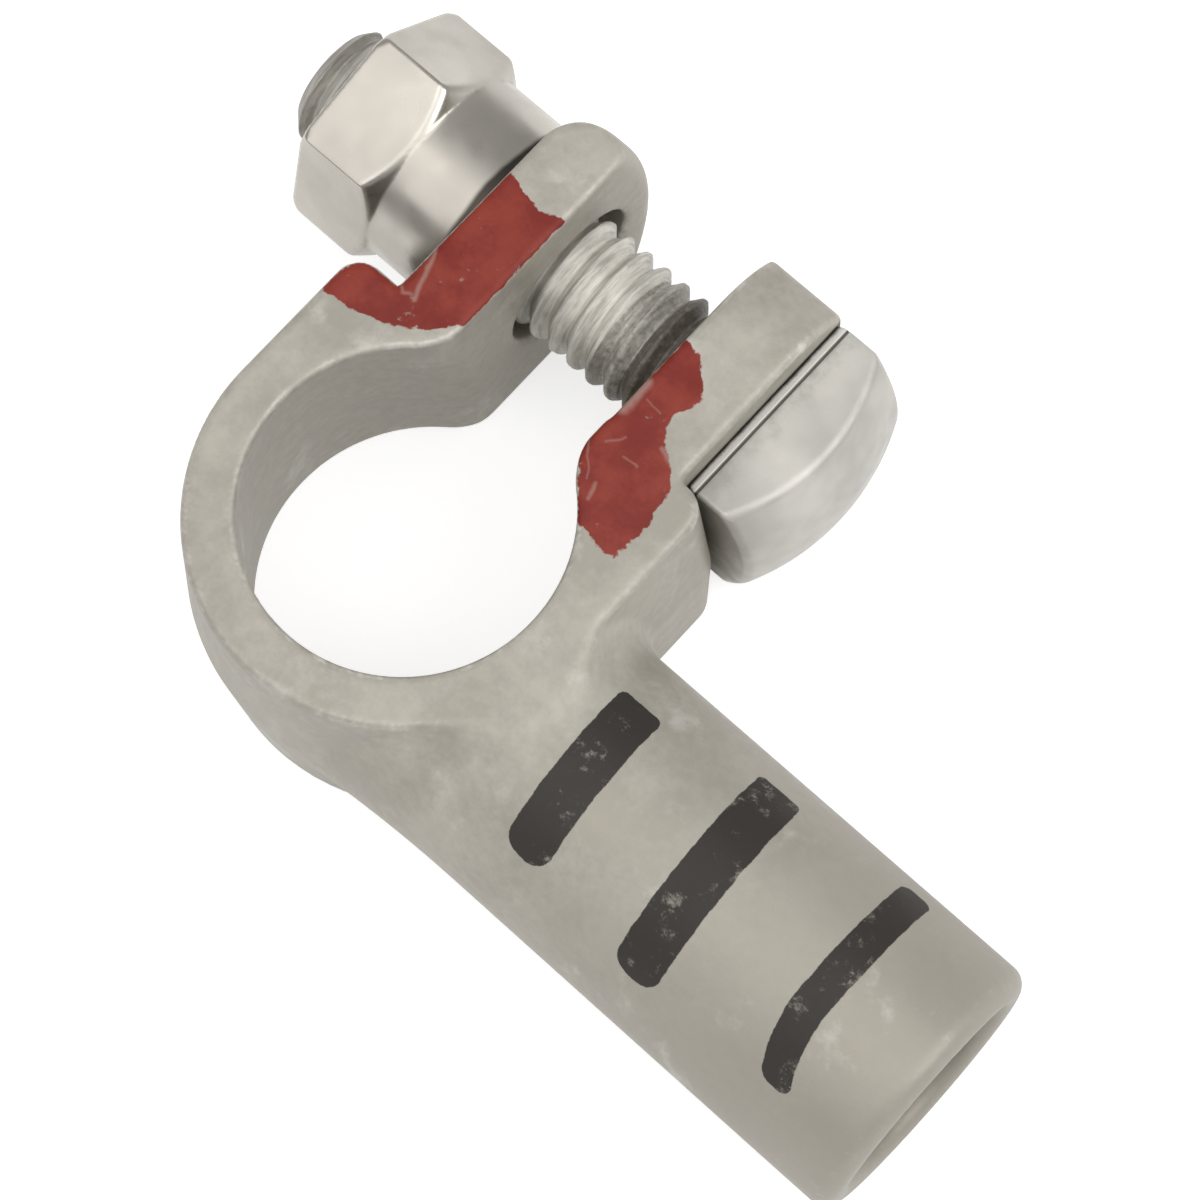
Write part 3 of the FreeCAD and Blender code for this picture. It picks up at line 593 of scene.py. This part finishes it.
# Nicks in the crests: the stretch of their noise along the bolt, its scale, its gain and the least depth.
NICKS_ALONG, NICKS, NICK_GAIN, NICK_LEAST = 1100.0, 4.0, 0.30, 0.80
# Points nearer than this, in metres, become one.
WELD = 1e-6


def screw_tree():
    """Geometry nodes: a right-hand screw thread with a flat, bevelled tip, closed at both ends."""
    tree = bpy.data.node_groups.new("ScrewThread", "GeometryNodeTree")
    face = tree.interface
    face.new_socket("Geometry", in_out="OUTPUT", socket_type="NodeSocketGeometry")
    face.new_socket("Geometry", in_out="INPUT", socket_type="NodeSocketGeometry")
    for name in ("Start", "Length", "Pitch", "Major Radius", "Depth", "Tip Radius", "Axis Y", "Axis Z"):
        face.new_socket(name, in_out="INPUT", socket_type="NodeSocketFloat")
    for name in ("Rows", "Segments"):
        face.new_socket(name, in_out="INPUT", socket_type="NodeSocketInt")
    face.new_socket("Material", in_out="INPUT", socket_type="NodeSocketMaterial")
    given = add_node(tree, "NodeGroupInput").outputs
    around = calc(tree, "ADD", given["Segments"], 1.0)
    grid = add_node(tree, "GeometryNodeMeshGrid", {
        "Size X": 1.0, "Size Y": 1.0, "Vertices X": given["Rows"], "Vertices Y": around,
    })

    # On the grid, u goes once around the bolt and v along it.
    place = add_node(tree, "GeometryNodeInputPosition")
    parts = add_node(tree, "ShaderNodeSeparateXYZ", {0: place.outputs[0]})
    u = calc(tree, "ADD", parts.outputs["Y"], 0.5)
    v = calc(tree, "ADD", parts.outputs["X"], 0.5)
    last_row = calc(tree, "SUBTRACT", given["Rows"], 1.0)
    row = calc(tree, "ROUND", calc(tree, "MULTIPLY", v, last_row))
    span = calc(tree, "SUBTRACT", last_row, 2.0)
    share = calc(tree, "DIVIDE", calc(tree, "SUBTRACT", row, 1.0), span, clamp=True)
    along = calc(tree, "MULTIPLY", share, given["Length"])

    # The thread's height from its root, nought to one, and the nicks in it.
    phase = calc(tree, "SUBTRACT", calc(tree, "DIVIDE", along, given["Pitch"]), u)
    share_of_turn = calc(tree, "FRACT", phase)
    wave = calc(tree, "ABSOLUTE", calc(tree, "MULTIPLY_ADD", share_of_turn, 2.0, -1.0))
    flank = add_node(tree, "ShaderNodeMapRange", {
        "Value": wave, "From Min": ROOT_END, "From Max": CREST_START,
    })
    spot_on_bolt = add_node(tree, "ShaderNodeCombineXYZ", {
        "X": calc(tree, "MULTIPLY", along, NICKS_ALONG),
        "Y": calc(tree, "SINE", calc(tree, "MULTIPLY", u, math.pi)),
    })
    nicks = add_node(tree, "ShaderNodeTexNoise", noise_dimensions="2D")
    feed(tree, nicks.inputs["Vector"], spot_on_bolt.outputs[0])
    feed(tree, nicks.inputs["Scale"], NICKS)
    worn = calc(tree, "MULTIPLY_ADD", nicks.outputs[0], NICK_GAIN, NICK_LEAST, clamp=True)
    depth = calc(tree, "MULTIPLY", worn, given["Depth"])

    # The radius: bevelled towards the tip, and nought in the first and last rows, which close the ends.
    low = calc(tree, "SUBTRACT", given["Major Radius"], given["Depth"])
    radius = calc(tree, "MULTIPLY_ADD", flank.outputs["Result"], depth, low)
    tip = calc(tree, "ADD", along, given["Tip Radius"])
    radius = calc(tree, "MINIMUM", radius, tip)
    not_first = calc(tree, "GREATER_THAN", row, 0.5)
    not_last = calc(tree, "LESS_THAN", row, calc(tree, "SUBTRACT", last_row, 0.5))
    open_row = calc(tree, "MULTIPLY", not_first, not_last)
    radius = calc(tree, "MULTIPLY", radius, open_row)

    # The grid bent around the bolt's axis, then joined, smoothed and dressed.
    round_it = calc(tree, "MULTIPLY", u, 2 * math.pi)
    across = calc(tree, "MULTIPLY", radius, calc(tree, "COSINE", round_it))
    up = calc(tree, "MULTIPLY", radius, calc(tree, "SINE", round_it))
    spot = add_node(tree, "ShaderNodeCombineXYZ", {
        "X": calc(tree, "ADD", along, given["Start"]),
        "Y": calc(tree, "ADD", across, given["Axis Y"]),
        "Z": calc(tree, "ADD", up, given["Axis Z"]),
    })
    move = add_node(tree, "GeometryNodeSetPosition", {
        "Geometry": grid.outputs["Mesh"], "Position": spot.outputs[0],
    })
    height = add_node(tree, "GeometryNodeStoreNamedAttribute", {
        "Geometry": move.outputs[0], "Name": "height",
    }, data_type="FLOAT", domain="POINT")
    feed(tree, height.inputs["Value"], flank.outputs["Result"])
    merge = add_node(tree, "GeometryNodeMergeByDistance", {0: height.outputs[0], "Distance": WELD})
    smooth = add_node(tree, "GeometryNodeSetShadeSmooth", {0: merge.outputs[0]})
    real = add_node(tree, "GeometryNodeRealizeInstances", {0: smooth.outputs[0]})
    dress = add_node(tree, "GeometryNodeSetMaterial", {0: real.outputs[0], "Material": given["Material"]})
    add_node(tree, "NodeGroupOutput", {0: dress.outputs[0]})
    return tree


def grown_mesh(name, tree, given):
    """Plain mesh piece that a node tree makes from its named inputs."""
    host = new_object(name + "_host", bpy.data.meshes.new(name + "_host"))
    modifier = host.modifiers.new("Grow", "NODES")
    modifier.node_group = tree
    for item in tree.interface.items_tree:
        if item.in_out == "INPUT" and item.name in given:
            modifier[item.identifier] = given[item.name]
    evaluated = host.evaluated_get(bpy.context.evaluated_depsgraph_get())
    mesh = bpy.data.meshes.new_from_object(evaluated)
    mesh.name = name
    host.modifiers.remove(modifier)
    bpy.data.objects.remove(host)
    return new_object(name, mesh)


def face_outwards(piece):
    """Recalculate the normals of a closed mesh so that they point out."""
    work = bmesh.new()
    work.from_mesh(piece.data)
    bmesh.ops.recalc_face_normals(work, faces=work.faces)
    work.to_mesh(piece.data)
    work.free()


# How far the shank reaches into the head.
THREAD_INTO_HEAD = 0.4


class CLAMP_OT_bolt_thread(bpy.types.Operator):
    """Grow the bolt's threaded shank with Geometry Nodes"""
    bl_idname = "clamp.bolt_thread"
    bl_label = "Bolt Thread"

    def execute(self, context):
        body = context.scene.clamp_body_sizes
        s = context.scene.clamp_bolt_sizes
        piece = grown_mesh("bolt_thread", screw_tree(), {
            "Start": -s.tip * MM,
            "Length": (s.tip + s.seat + THREAD_INTO_HEAD) * MM,
            "Pitch": s.pitch * MM,
            "Major Radius": s.major * MM,
            "Depth": s.depth * MM,
            "Tip Radius": s.tip_radius * MM,
            "Axis Y": body.bolt_offset * MM,
            "Axis Z": body.height / 2 * MM,
            "Rows": s.rows,
            "Segments": s.segments,
            "Material": thread_steel(context.scene.clamp_colours),
        })
        if not piece.data.polygons:
            raise RuntimeError("the thread has no faces")
        face_outwards(piece)
        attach(piece, "bolt")
        return {"FINISHED"}


# The nut: the slope of its outer bevel, and what brings that and the cone near true distances.
BEVEL_SLOPE = 0.9
BEVEL_SCALE = 0.75
CONE_SCALE = 0.65
# How far the hexagon and the collar reach into each other.
OVERLAP = 1.0


def nut_field(x, y, z, s, offset, mid):
    """Hexagon with a bevelled end, a cone down to a round collar, and a bore with bevelled mouths."""
    across, up = y - offset, z - mid
    around = np.hypot(across, up)
    hexagon = np.full(x.shape, -np.inf)
    for side in range(6):
        facing = s.turn + math.radians(30 + 60 * side)
        hexagon = np.maximum(hexagon, across * math.cos(facing) + up * math.sin(facing) - s.flat)
    cone = around - s.collar + (x + s.collar_end) * (s.corner - s.collar) / (s.cone_end - s.collar_end)
    bevel = (around - s.corner + s.end_bevel - (x + s.end) * BEVEL_SLOPE) * BEVEL_SCALE
    end = round_meet(bevel, -x - s.end, s.end_edge)
    hexagon = round_meet(round_meet(hexagon, cone * CONE_SCALE, s.cone_edge), end, s.bevel_edge)
    hexagon = np.maximum(hexagon, x + s.collar_end - OVERLAP)
    collar = round_meet(around - s.collar, x + s.face, s.collar_edge)
    collar = np.maximum(collar, -x - s.collar_end - OVERLAP)
    mouth = np.minimum(np.abs(x + s.face), np.abs(x + s.end))
    bore = around - s.bore - np.maximum(s.mouth - mouth, 0)
    return np.maximum(np.minimum(hexagon, collar), -bore)


class CLAMP_OT_nut(bpy.types.Operator):
    """Build the hexagon nut with its turned collar"""
    bl_idname = "clamp.nut"
    bl_label = "Collared Nut"

    def execute(self, context):
        body = context.scene.clamp_body_sizes
        s = context.scene.clamp_nut_sizes
        piece = piece_on_bolt("collared_nut", nut_field, s, body, -s.end, -s.face, s.corner)
        piece.data.materials.append(bright_steel(context.scene.clamp_colours))
        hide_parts("clamp_nut")
        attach(piece, "nut")
        return {"FINISHED"}


# Finishes: the colours that wear, dirt and tarnish bring out, and the colours of painted shade and painted
# highlights.
# Rubbed edges, which also carry a painted edge highlight.
RUBBED_EDGE_AND_HIGHLIGHT = (0.70, 0.68, 0.62)
# Paler tin in random patches, which also paints a sheen.
PALE_TIN_AND_SHEEN = (0.62, 0.60, 0.55)
THIN_PAINT = (0.50, 0.37, 0.31)
# Painted highlight on the narrow band at the bolt head's seat.
PAINTED_SEAT_HIGHLIGHT = (0.95, 0.93, 0.88)
# Dark colour for dirt and painted contact shade in the seams, and for painted shade in the head's groove.
DIRT_AND_PAINTED_SHADE = (0.035, 0.028, 0.02)
# Dark colour of the thread's streaks and tip, and painted shade in its roots.
THREAD_DARK_AND_ROOT_SHADE = (0.075, 0.060, 0.042)
TARNISH = (0.27, 0.265, 0.225)


def noise(tree, where, scale, detail, roughness=0.55, stretch=(1, 1, 1)):
    """Noise on object coordinates; its value."""
    place = add_node(tree, "ShaderNodeMapping", {"Vector": where, "Scale": stretch}).outputs[0]
    given = {"Vector": place, "Scale": scale, "Detail": detail, "Roughness": roughness}
    return add_node(tree, "ShaderNodeTexNoise", given).outputs["Fac"]


def spread(tree, source, low, high, to_low=0.0, to_high=1.0):
    """Smooth step of a value, from to_low at the level low to to_high at the level high."""
    given = {"Value": source, "From Min": low, "From Max": high, "To Min": to_low, "To Max": to_high}
    return add_node(tree, "ShaderNodeMapRange", given, interpolation_type="SMOOTHSTEP").outputs["Result"]


def mix(tree, share, first, second):
    """Mix of two colours; its output."""
    first, second = (c if isinstance(c, bpy.types.NodeSocket) else (*c, 1.0) for c in (first, second))
    return add_node(tree, "ShaderNodeMix", {0: share, 6: first, 7: second}, data_type="RGBA").outputs[2]


def new_finish(name, metal):
    """Material with a plain shader; its tree, shader and object coordinates."""
    material = bpy.data.materials.new(name)
    material.use_nodes = True
    tree = material.node_tree
    shader = tree.nodes["Principled BSDF"]
    feed(tree, shader.inputs["Metallic"], metal)
    where = add_node(tree, "ShaderNodeTexCoord").outputs["Object"]
    return material, tree, shader, where


def attribute(tree, name):
    """A number that the mesh holds for each of its points."""
    return add_node(tree, "ShaderNodeAttribute", attribute_name=name).outputs["Fac"]


def place_along_x(tree, where):
    """Place along X, in metres."""
    return add_node(tree, "ShaderNodeSeparateXYZ", {0: where}).outputs["X"]


def seam_dirt_and_shade(tree, breakup, near, far):
    """How much dirt and painted contact shade lie in the seams between this piece and the next, from near to
    far in millimetres.
    """
    reach = calc(tree, "MULTIPLY_ADD", breakup, -0.35, attribute(tree, "seam"))
    return spread(tree, reach, near, far, 0.93, 0.0)


def add_bump(tree, shader, height, strength, distance):
    """Fine relief on the shader's normal."""
    node = add_node(tree, "ShaderNodeBump", {"Strength": strength, "Distance": distance, "Height": height})
    feed(tree, shader.inputs["Normal"], node.outputs[0])


# Pale strokes rubbed through the paint: two ends and a half width, in millimetres.
PAINT_STROKES = (
    (-8.99, 12.03, -7.84, 9.10, 0.10), (-9.33, 9.58, -8.66, 9.03, 0.07), (-8.66, 9.03, -8.19, 9.28, 0.07),
    (4.89, 14.02, 5.00, 12.02, 0.20), (5.50, 10.12, 6.12, 10.92, 0.05), (6.81, 10.07, 7.71, 10.11, 0.05),
    (6.66, 7.92, 6.90, 6.99, 0.08), (8.02, 11.78, 9.12, 11.37, 0.09), (5.56, 13.28, 6.61, 13.20, 0.04),
    (4.45, 9.95, 6.10, 7.85, 0.05),
)
# How far the strokes wander, in millimetres.
WANDER = 0.4


def strokes(tree, where, breakup, ends):
    """Rubbed strokes on the top face, each between two ends."""
    bend = add_node(tree, "ShaderNodeTexNoise", {"Vector": where, "Scale": 900.0, "Detail": 3.0})
    bent = vector(tree, "MULTIPLY_ADD", bend.outputs["Color"], (WANDER * MM, WANDER * MM, 0.0), where)
    together = None
    for ax, ay, bx, by, half in ends:
        start = ((ax + WANDER / 2) * MM, (ay + WANDER / 2) * MM, 0)
        shift = vector(tree, "SUBTRACT", bent.outputs[0], start)
        flat = vector(tree, "MULTIPLY", shift.outputs[0], (1, 1, 0))
        run = (bx - ax, by - ay)
        size = math.hypot(*run)
        aim = (run[0] / size ** 2 / MM, run[1] / size ** 2 / MM, 0)
        dot = vector(tree, "DOT_PRODUCT", flat.outputs[0], aim)
        share = calc(tree, "MULTIPLY", dot.outputs["Value"], 1.0, clamp=True)
        foot = vector(tree, "SCALE", (run[0] * MM, run[1] * MM, 0))
        feed(tree, foot.inputs["Scale"], share)
        gap = vector(tree, "DISTANCE", flat.outputs[0], foot.outputs[0])
        reach = calc(tree, "MULTIPLY_ADD", breakup, half * MM, gap.outputs["Value"])
        strength = min(0.85, 4.5 * half + 0.12)
        mark = spread(tree, reach, half * 0.4 * MM, half * 3.0 * MM, strength, 0.0)
        together = mark if together is None else calc(tree, "MAXIMUM", together, mark)
    return together


def bare_tin(tree, where, broad, fine, colours):
    """Mottled tin, paler around the ring than on the barrel, rubbed bright on its edges with a painted
    highlight there, and paler in random patches that also paint a sheen.
    """
    worn = spread(tree, calc(tree, "MULTIPLY_ADD", fine, 1.6, attribute(tree, "turn")), 1.5, 3.2)
    patches = spread(tree, calc(tree, "MULTIPLY_ADD", fine, 0.5, broad), 0.55, 0.95)
    ring = spread(tree, place_along_x(tree, where), 13 * MM, 34 * MM, 1.0, 0.22)
    patches = calc(tree, "MULTIPLY", patches, ring)
    metal = mix(tree, patches, colours.tin_dark, colours.tin)
    chips = spread(tree, noise(tree, where, 340, 6, 0.7), 0.44, 0.62, 0.18, 0.85)
    # Sharply turned edges rubbed bright, which also paints a highlight along them.
    metal = mix(tree, calc(tree, "MULTIPLY", worn, chips), metal, RUBBED_EDGE_AND_HIGHLIGHT)
    # Paler random patches: rubbed tin and a painted sheen.
    pale_and_sheen = noise(tree, where, 260, 7, 0.62, (1.0, 1.0, 0.6))
    return mix(tree, spread(tree, pale_and_sheen, 0.56, 0.72, 0.0, 0.55), metal, PALE_TIN_AND_SHEEN)


def red_paint(tree, where, fine, jag, colours):
    """Where the red paint lies, with a ragged and chipped rim, and its faded and scratched colour."""
    edge = calc(tree, "MULTIPLY_ADD", jag, 0.9, -0.45)
    depth = calc(tree, "ADD", attribute(tree, "paint"), edge)
    share = spread(tree, depth, 0.0, 0.10)
    flakes = spread(tree, noise(tree, where, 620, 6, 0.7), 0.61, 0.67)
    near_rim = spread(tree, depth, 0.1, 0.5, 1.0, 0.0)
    chipped = calc(tree, "MULTIPLY", flakes, near_rim)
    share = calc(tree, "MULTIPLY", share, calc(tree, "SUBTRACT", 1.0, chipped))
    fade = spread(tree, noise(tree, where, 300, 6, 0.65), 0.38, 0.64)
    colour = mix(tree, fade, colours.paint, colours.paint_faded)
    scratched = calc(tree, "MULTIPLY", strokes(tree, where, fine, PAINT_STROKES), 0.62)
    return share, mix(tree, scratched, colour, THIN_PAINT)


def black_ink(tree, where, jag):
    """Where the black ink lies, with a ragged rim and rubbed spots."""
    edge = calc(tree, "MULTIPLY_ADD", jag, 0.28, -0.14)
    depth = calc(tree, "ADD", attribute(tree, "ink"), edge)
    share = spread(tree, depth, 0.0, 0.06)
    rubbed = spread(tree, noise(tree, where, 520, 9, 0.78), 0.56, 0.68, 1.0, 0.45)
    return calc(tree, "MULTIPLY", share, rubbed)


def tinned_casting(colours):
    """Dull tin over a casting, with red paint, black ink, and dirt and painted contact shade in the seams.
    """
    material, tree, shader, where = new_finish("tinned_casting", 0.0)
    broad = noise(tree, where, 140, 3)
    fine = noise(tree, where, 1500, 6, 0.65)
    grain = noise(tree, where, 4200, 3, 0.6)
    metal = bare_tin(tree, where, broad, fine, colours)
    jag = noise(tree, where, 900, 5, 0.7)
    red, paint = red_paint(tree, where, fine, jag, colours)
    ink = black_ink(tree, where, jag)
    surface = mix(tree, red, metal, paint)
    surface = mix(tree, ink, surface, colours.ink)
    # Dirt and painted contact shade on the casting beside the bolt head and the nut.
    surface = mix(tree, seam_dirt_and_shade(tree, fine, -0.05, 0.36), surface, DIRT_AND_PAINTED_SHADE)
    feed(tree, shader.inputs["Base Color"], surface)
    covered = calc(tree, "MAXIMUM", red, ink)
    bare = calc(tree, "SUBTRACT", 1.0, covered)
    feed(tree, shader.inputs["Metallic"], calc(tree, "MULTIPLY", bare, 0.22))
    rough = spread(tree, broad, 0.2, 0.8, 0.44, 0.60)
    feed(tree, shader.inputs["Roughness"], calc(tree, "MULTIPLY_ADD", covered, 0.08, rough))
    relief = calc(tree, "MULTIPLY_ADD", fine, 0.55, calc(tree, "MULTIPLY", grain, 0.25))
    relief = calc(tree, "MULTIPLY_ADD", broad, 1.4, relief)
    relief = calc(tree, "MULTIPLY_ADD", covered, 0.12, relief)
    add_bump(tree, shader, relief, 0.22, 0.00018)
    return material


def mottled_steel(tree, where, colour, scale, detail):
    """Mottled steel, paler where it is rubbed and where a highlight is painted on its edges: its colour, and
    its broad and fine noise.
    """
    broad = noise(tree, where, 0.35 * scale, 3)
    fine = noise(tree, where, 2.2 * scale, detail, 0.65)
    worn = spread(tree, calc(tree, "MULTIPLY_ADD", fine, 1.6, attribute(tree, "turn")), 1.9, 3.6)
    dull = tuple(0.72 * c for c in colour)
    rubbed_and_highlit = tuple(min(1.0, 1.35 * c) for c in colour)
    base = mix(tree, spread(tree, broad, 0.3, 0.7), dull, colour)
    # Edges rubbed bright, with a painted edge highlight.
    base = mix(tree, calc(tree, "MULTIPLY", worn, 0.25), base, rubbed_and_highlit)
    return base, broad, fine


def join_steel(tree, shader, base, broad, fine, rough, relief):
    """Give the shader a steel's colour, roughness and fine relief."""
    feed(tree, shader.inputs["Base Color"], base)
    feed(tree, shader.inputs["Roughness"], spread(tree, fine, 0.25, 0.75, rough - 0.07, rough + 0.09))
    add_bump(tree, shader, calc(tree, "MULTIPLY_ADD", broad, 1.5, fine), relief, 0.0001)


# Places along X on the bolt's head, in millimetres: the groove above its seat, and the rim up to it.
HEAD_GROOVE, HEAD_RIM = 10.62, 10.56


def plated_steel(colours):
    """Plated bolt head: tarnished near the casting, with a painted highlight on the band at its seat, dirt
    and painted contact shade in its seam, and painted shade in its groove.
    """
    scale = 420
    material, tree, shader, where = new_finish("plated_steel", 0.3)
    base, broad, fine = mottled_steel(tree, where, colours.bolt, scale, 5.0)
    blotch = noise(tree, where, 1.4 * scale, 6, 0.7)
    near = calc(tree, "MULTIPLY_ADD", blotch, 6.0, attribute(tree, "seam"))
    base = mix(tree, spread(tree, near, 2.8, 5.0, 0.5, 0.0), base, TARNISH)
    # Painted highlight: the narrow band at the seat is painted nearly white.
    seat_highlight = place_along_x(tree, where)
    seat_highlight = spread(tree, seat_highlight, (HEAD_RIM - 0.05) * MM, (HEAD_RIM + 0.02) * MM, 0.8, 0.0)
    base = mix(tree, seat_highlight, base, PAINTED_SEAT_HIGHLIGHT)
    # Dirt and painted contact shade where the head meets the casting.
    base = mix(tree, seam_dirt_and_shade(tree, fine, -0.15, 0.12), base, DIRT_AND_PAINTED_SHADE)
    # Painted shade: a dark line along the groove above the seat band.
    gap = calc(tree, "SUBTRACT", place_along_x(tree, where), HEAD_GROOVE * MM)
    groove_shade = spread(tree, calc(tree, "ABSOLUTE", gap), 0.06 * MM, 0.13 * MM, 0.85, 0.0)
    base = mix(tree, groove_shade, base, DIRT_AND_PAINTED_SHADE)
    join_steel(tree, shader, base, broad, fine, 0.42, 0.22)
    return material


def thread_steel(colours):
    """Rolled thread: streaked along its turns, with painted shade at its roots, and darker towards the tip.
    """
    scale = 1100
    material, tree, shader, where = new_finish("thread_steel", 0.1)
    base, broad, fine = mottled_steel(tree, where, colours.thread, scale, 7.0)
    rolled = noise(tree, where, 1.6 * scale, 4, 0.6, (3.0, 0.22, 0.22))
    base = mix(tree, spread(tree, rolled, 0.35, 0.60, 0.38, 0.0), base, THREAD_DARK_AND_ROOT_SHADE)
    # Painted shade in the roots of the thread.
    level = calc(tree, "MULTIPLY_ADD", fine, 0.30, attribute(tree, "height"))
    base = mix(tree, spread(tree, level, 0.13, 0.40, 0.92, 0.0), base, THREAD_DARK_AND_ROOT_SHADE)
    tip = spread(tree, place_along_x(tree, where), -23.5 * MM, -19.5 * MM, 0.5, 0.0)
    base = mix(tree, tip, base, THREAD_DARK_AND_ROOT_SHADE)
    join_steel(tree, shader, base, broad, fine, 0.48, 0.6)
    return material


def bright_steel(colours):
    """Smooth bright nut, with dirt and painted contact shade only where it meets the casting."""
    material, tree, shader, where = new_finish("bright_steel", 0.92)
    base, broad, fine = mottled_steel(tree, where, colours.nut, 200, 1.5)
    # Dirt and painted contact shade on the collar beside the ear.
    base = mix(tree, seam_dirt_and_shade(tree, fine, 0.75, 1.1), base, DIRT_AND_PAINTED_SHADE)
    join_steel(tree, shader, base, broad, fine, 0.29, 0.04)
    return material


# Soft lights of the stage: name, place and width in metres, and the setting that holds the power.
LIGHTS = (
    ("key", (0.345, 0.15, 0.42), 0.40, "key_power"),
    ("fill", (-0.16, -0.28, 0.44), 0.55, "fill_power"),
    ("top", (0.06, -0.01, 0.56), 0.50, "top_power"),
)
LIGHT_TARGET = (0.014, 0.006, 0.008)
FLOOR_HALF = 3.0
FLOOR_TONE = 0.62
SENSOR_WIDTH = 36.0


def area_light(name, place, size, power):
    """Round soft light at a place, turned to the clamp."""
    data = bpy.data.lights.new(name, "AREA")
    data.shape = "DISK"
    data.size = size
    data.energy = power
    aim = (Vector(LIGHT_TARGET) - Vector(place)).to_track_quat("-Z", "Y").to_matrix().to_4x4()
    new_object(name, data).matrix_world = Matrix.Translation(Vector(place)) @ aim


def pale_floor(level):
    """Floor finish: a pale matt surface, with its own glow where the camera or a reflection sees it."""
    material = bpy.data.materials.new("pale_floor")
    material.use_nodes = True
    tree = material.node_tree
    tree.nodes.clear()
    matt = add_node(tree, "ShaderNodeBsdfDiffuse", {"Color": (FLOOR_TONE, FLOOR_TONE, FLOOR_TONE, 1.0)})
    glow = add_node(tree, "ShaderNodeEmission", {"Color": (1.0, 1.0, 1.0, 1.0)})
    path = add_node(tree, "ShaderNodeLightPath")
    seen = calc(tree, "ADD", path.outputs["Is Camera Ray"], path.outputs["Is Glossy Ray"])
    seen = calc(tree, "ADD", seen, path.outputs["Is Transmission Ray"], clamp=True)
    feed(tree, glow.inputs["Strength"], calc(tree, "MULTIPLY", seen, level))
    both = add_node(tree, "ShaderNodeAddShader", {0: matt.outputs[0], 1: glow.outputs[0]})
    add_node(tree, "ShaderNodeOutputMaterial", {0: both.outputs[0]})
    return material


class CLAMP_OT_stage(bpy.types.Operator):
    """Set up the floor, the lights, the surroundings and the camera"""
    bl_idname = "clamp.stage"
    bl_label = "Stage"

    def execute(self, context):
        s = context.scene.clamp_stage
        scene = context.scene
        half = FLOOR_HALF / MM
        corners = np.array([(-half, -half, 0), (half, -half, 0), (half, half, 0), (-half, half, 0)])
        floor = mesh_piece("floor", corners, np.array([[0, 1, 2, 3]]))
        floor.data.materials.append(pale_floor(s.floor_level))
        for name, place, size, power in LIGHTS:
            area_light(name, place, size, getattr(s, power))
        world = bpy.data.worlds.new("surroundings")
        world.use_nodes = True
        back = world.node_tree.nodes["Background"]
        back.inputs["Color"].default_value = (1.0, 1.0, 1.0, 1.0)
        back.inputs["Strength"].default_value = s.world_level
        scene.world = world
        scene.view_settings.view_transform = "Standard"
        data = bpy.data.cameras.new("camera")
        data.lens = s.lens
        data.sensor_width = SENSOR_WIDTH
        data.sensor_fit = "HORIZONTAL"
        data.clip_start = 0.01
        right, up = Vector(s.camera_right).normalized(), Vector(s.camera_up)
        up = (up - up.dot(right) * right).normalized()
        turn = Matrix((right, up, right.cross(up))).transposed().to_4x4()
        scene.camera = new_object("camera", data)
        scene.camera.matrix_world = Matrix.Translation(Vector(s.camera_place) * MM) @ turn
        return {"FINISHED"}


OPERATORS = (CLAMP_OT_cast_body, CLAMP_OT_bolt_head, CLAMP_OT_bolt_thread, CLAMP_OT_nut, CLAMP_OT_stage)
GROUPS = (
    ("clamp_body_sizes", CastBodySizes), ("clamp_bolt_sizes", BoltSizes), ("clamp_nut_sizes", NutSizes),
    ("clamp_colours", ClampColours), ("clamp_stage", StageSettings),
)


class CLAMP_PT_panel(bpy.types.Panel):
    """The clamp's pieces and their settings"""
    bl_idname = "CLAMP_PT_panel"
    bl_label = "Battery Terminal Clamp"
    bl_space_type = "VIEW_3D"
    bl_region_type = "UI"
    bl_category = "Clamp"

    def draw(self, context):
        for operator in OPERATORS:
            self.layout.operator(operator.bl_idname)
        for name, group in GROUPS:
            box = self.layout.box()
            for prop in group.__annotations__:
                box.prop(getattr(context.scene, name), prop)


def register():
    """Register the settings, the operators and the panel."""
    for _, group in GROUPS:
        bpy.utils.register_class(group)
    for name, group in GROUPS:
        setattr(bpy.types.Scene, name, PointerProperty(type=group))
    for cls in (*OPERATORS, CLAMP_PT_panel):
        bpy.utils.register_class(cls)


def unregister():
    """Take back what register did."""
    for cls in (CLAMP_PT_panel, *reversed(OPERATORS)):
        bpy.utils.unregister_class(cls)
    for name, group in reversed(GROUPS):
        delattr(bpy.types.Scene, name)
        bpy.utils.unregister_class(group)


def main():
    """Build every piece and the stage."""
    register()
    for operator in OPERATORS:
        group, name = operator.bl_idname.split(".")
        getattr(getattr(bpy.ops, group), name)()


if __name__ == "__main__":
    main()
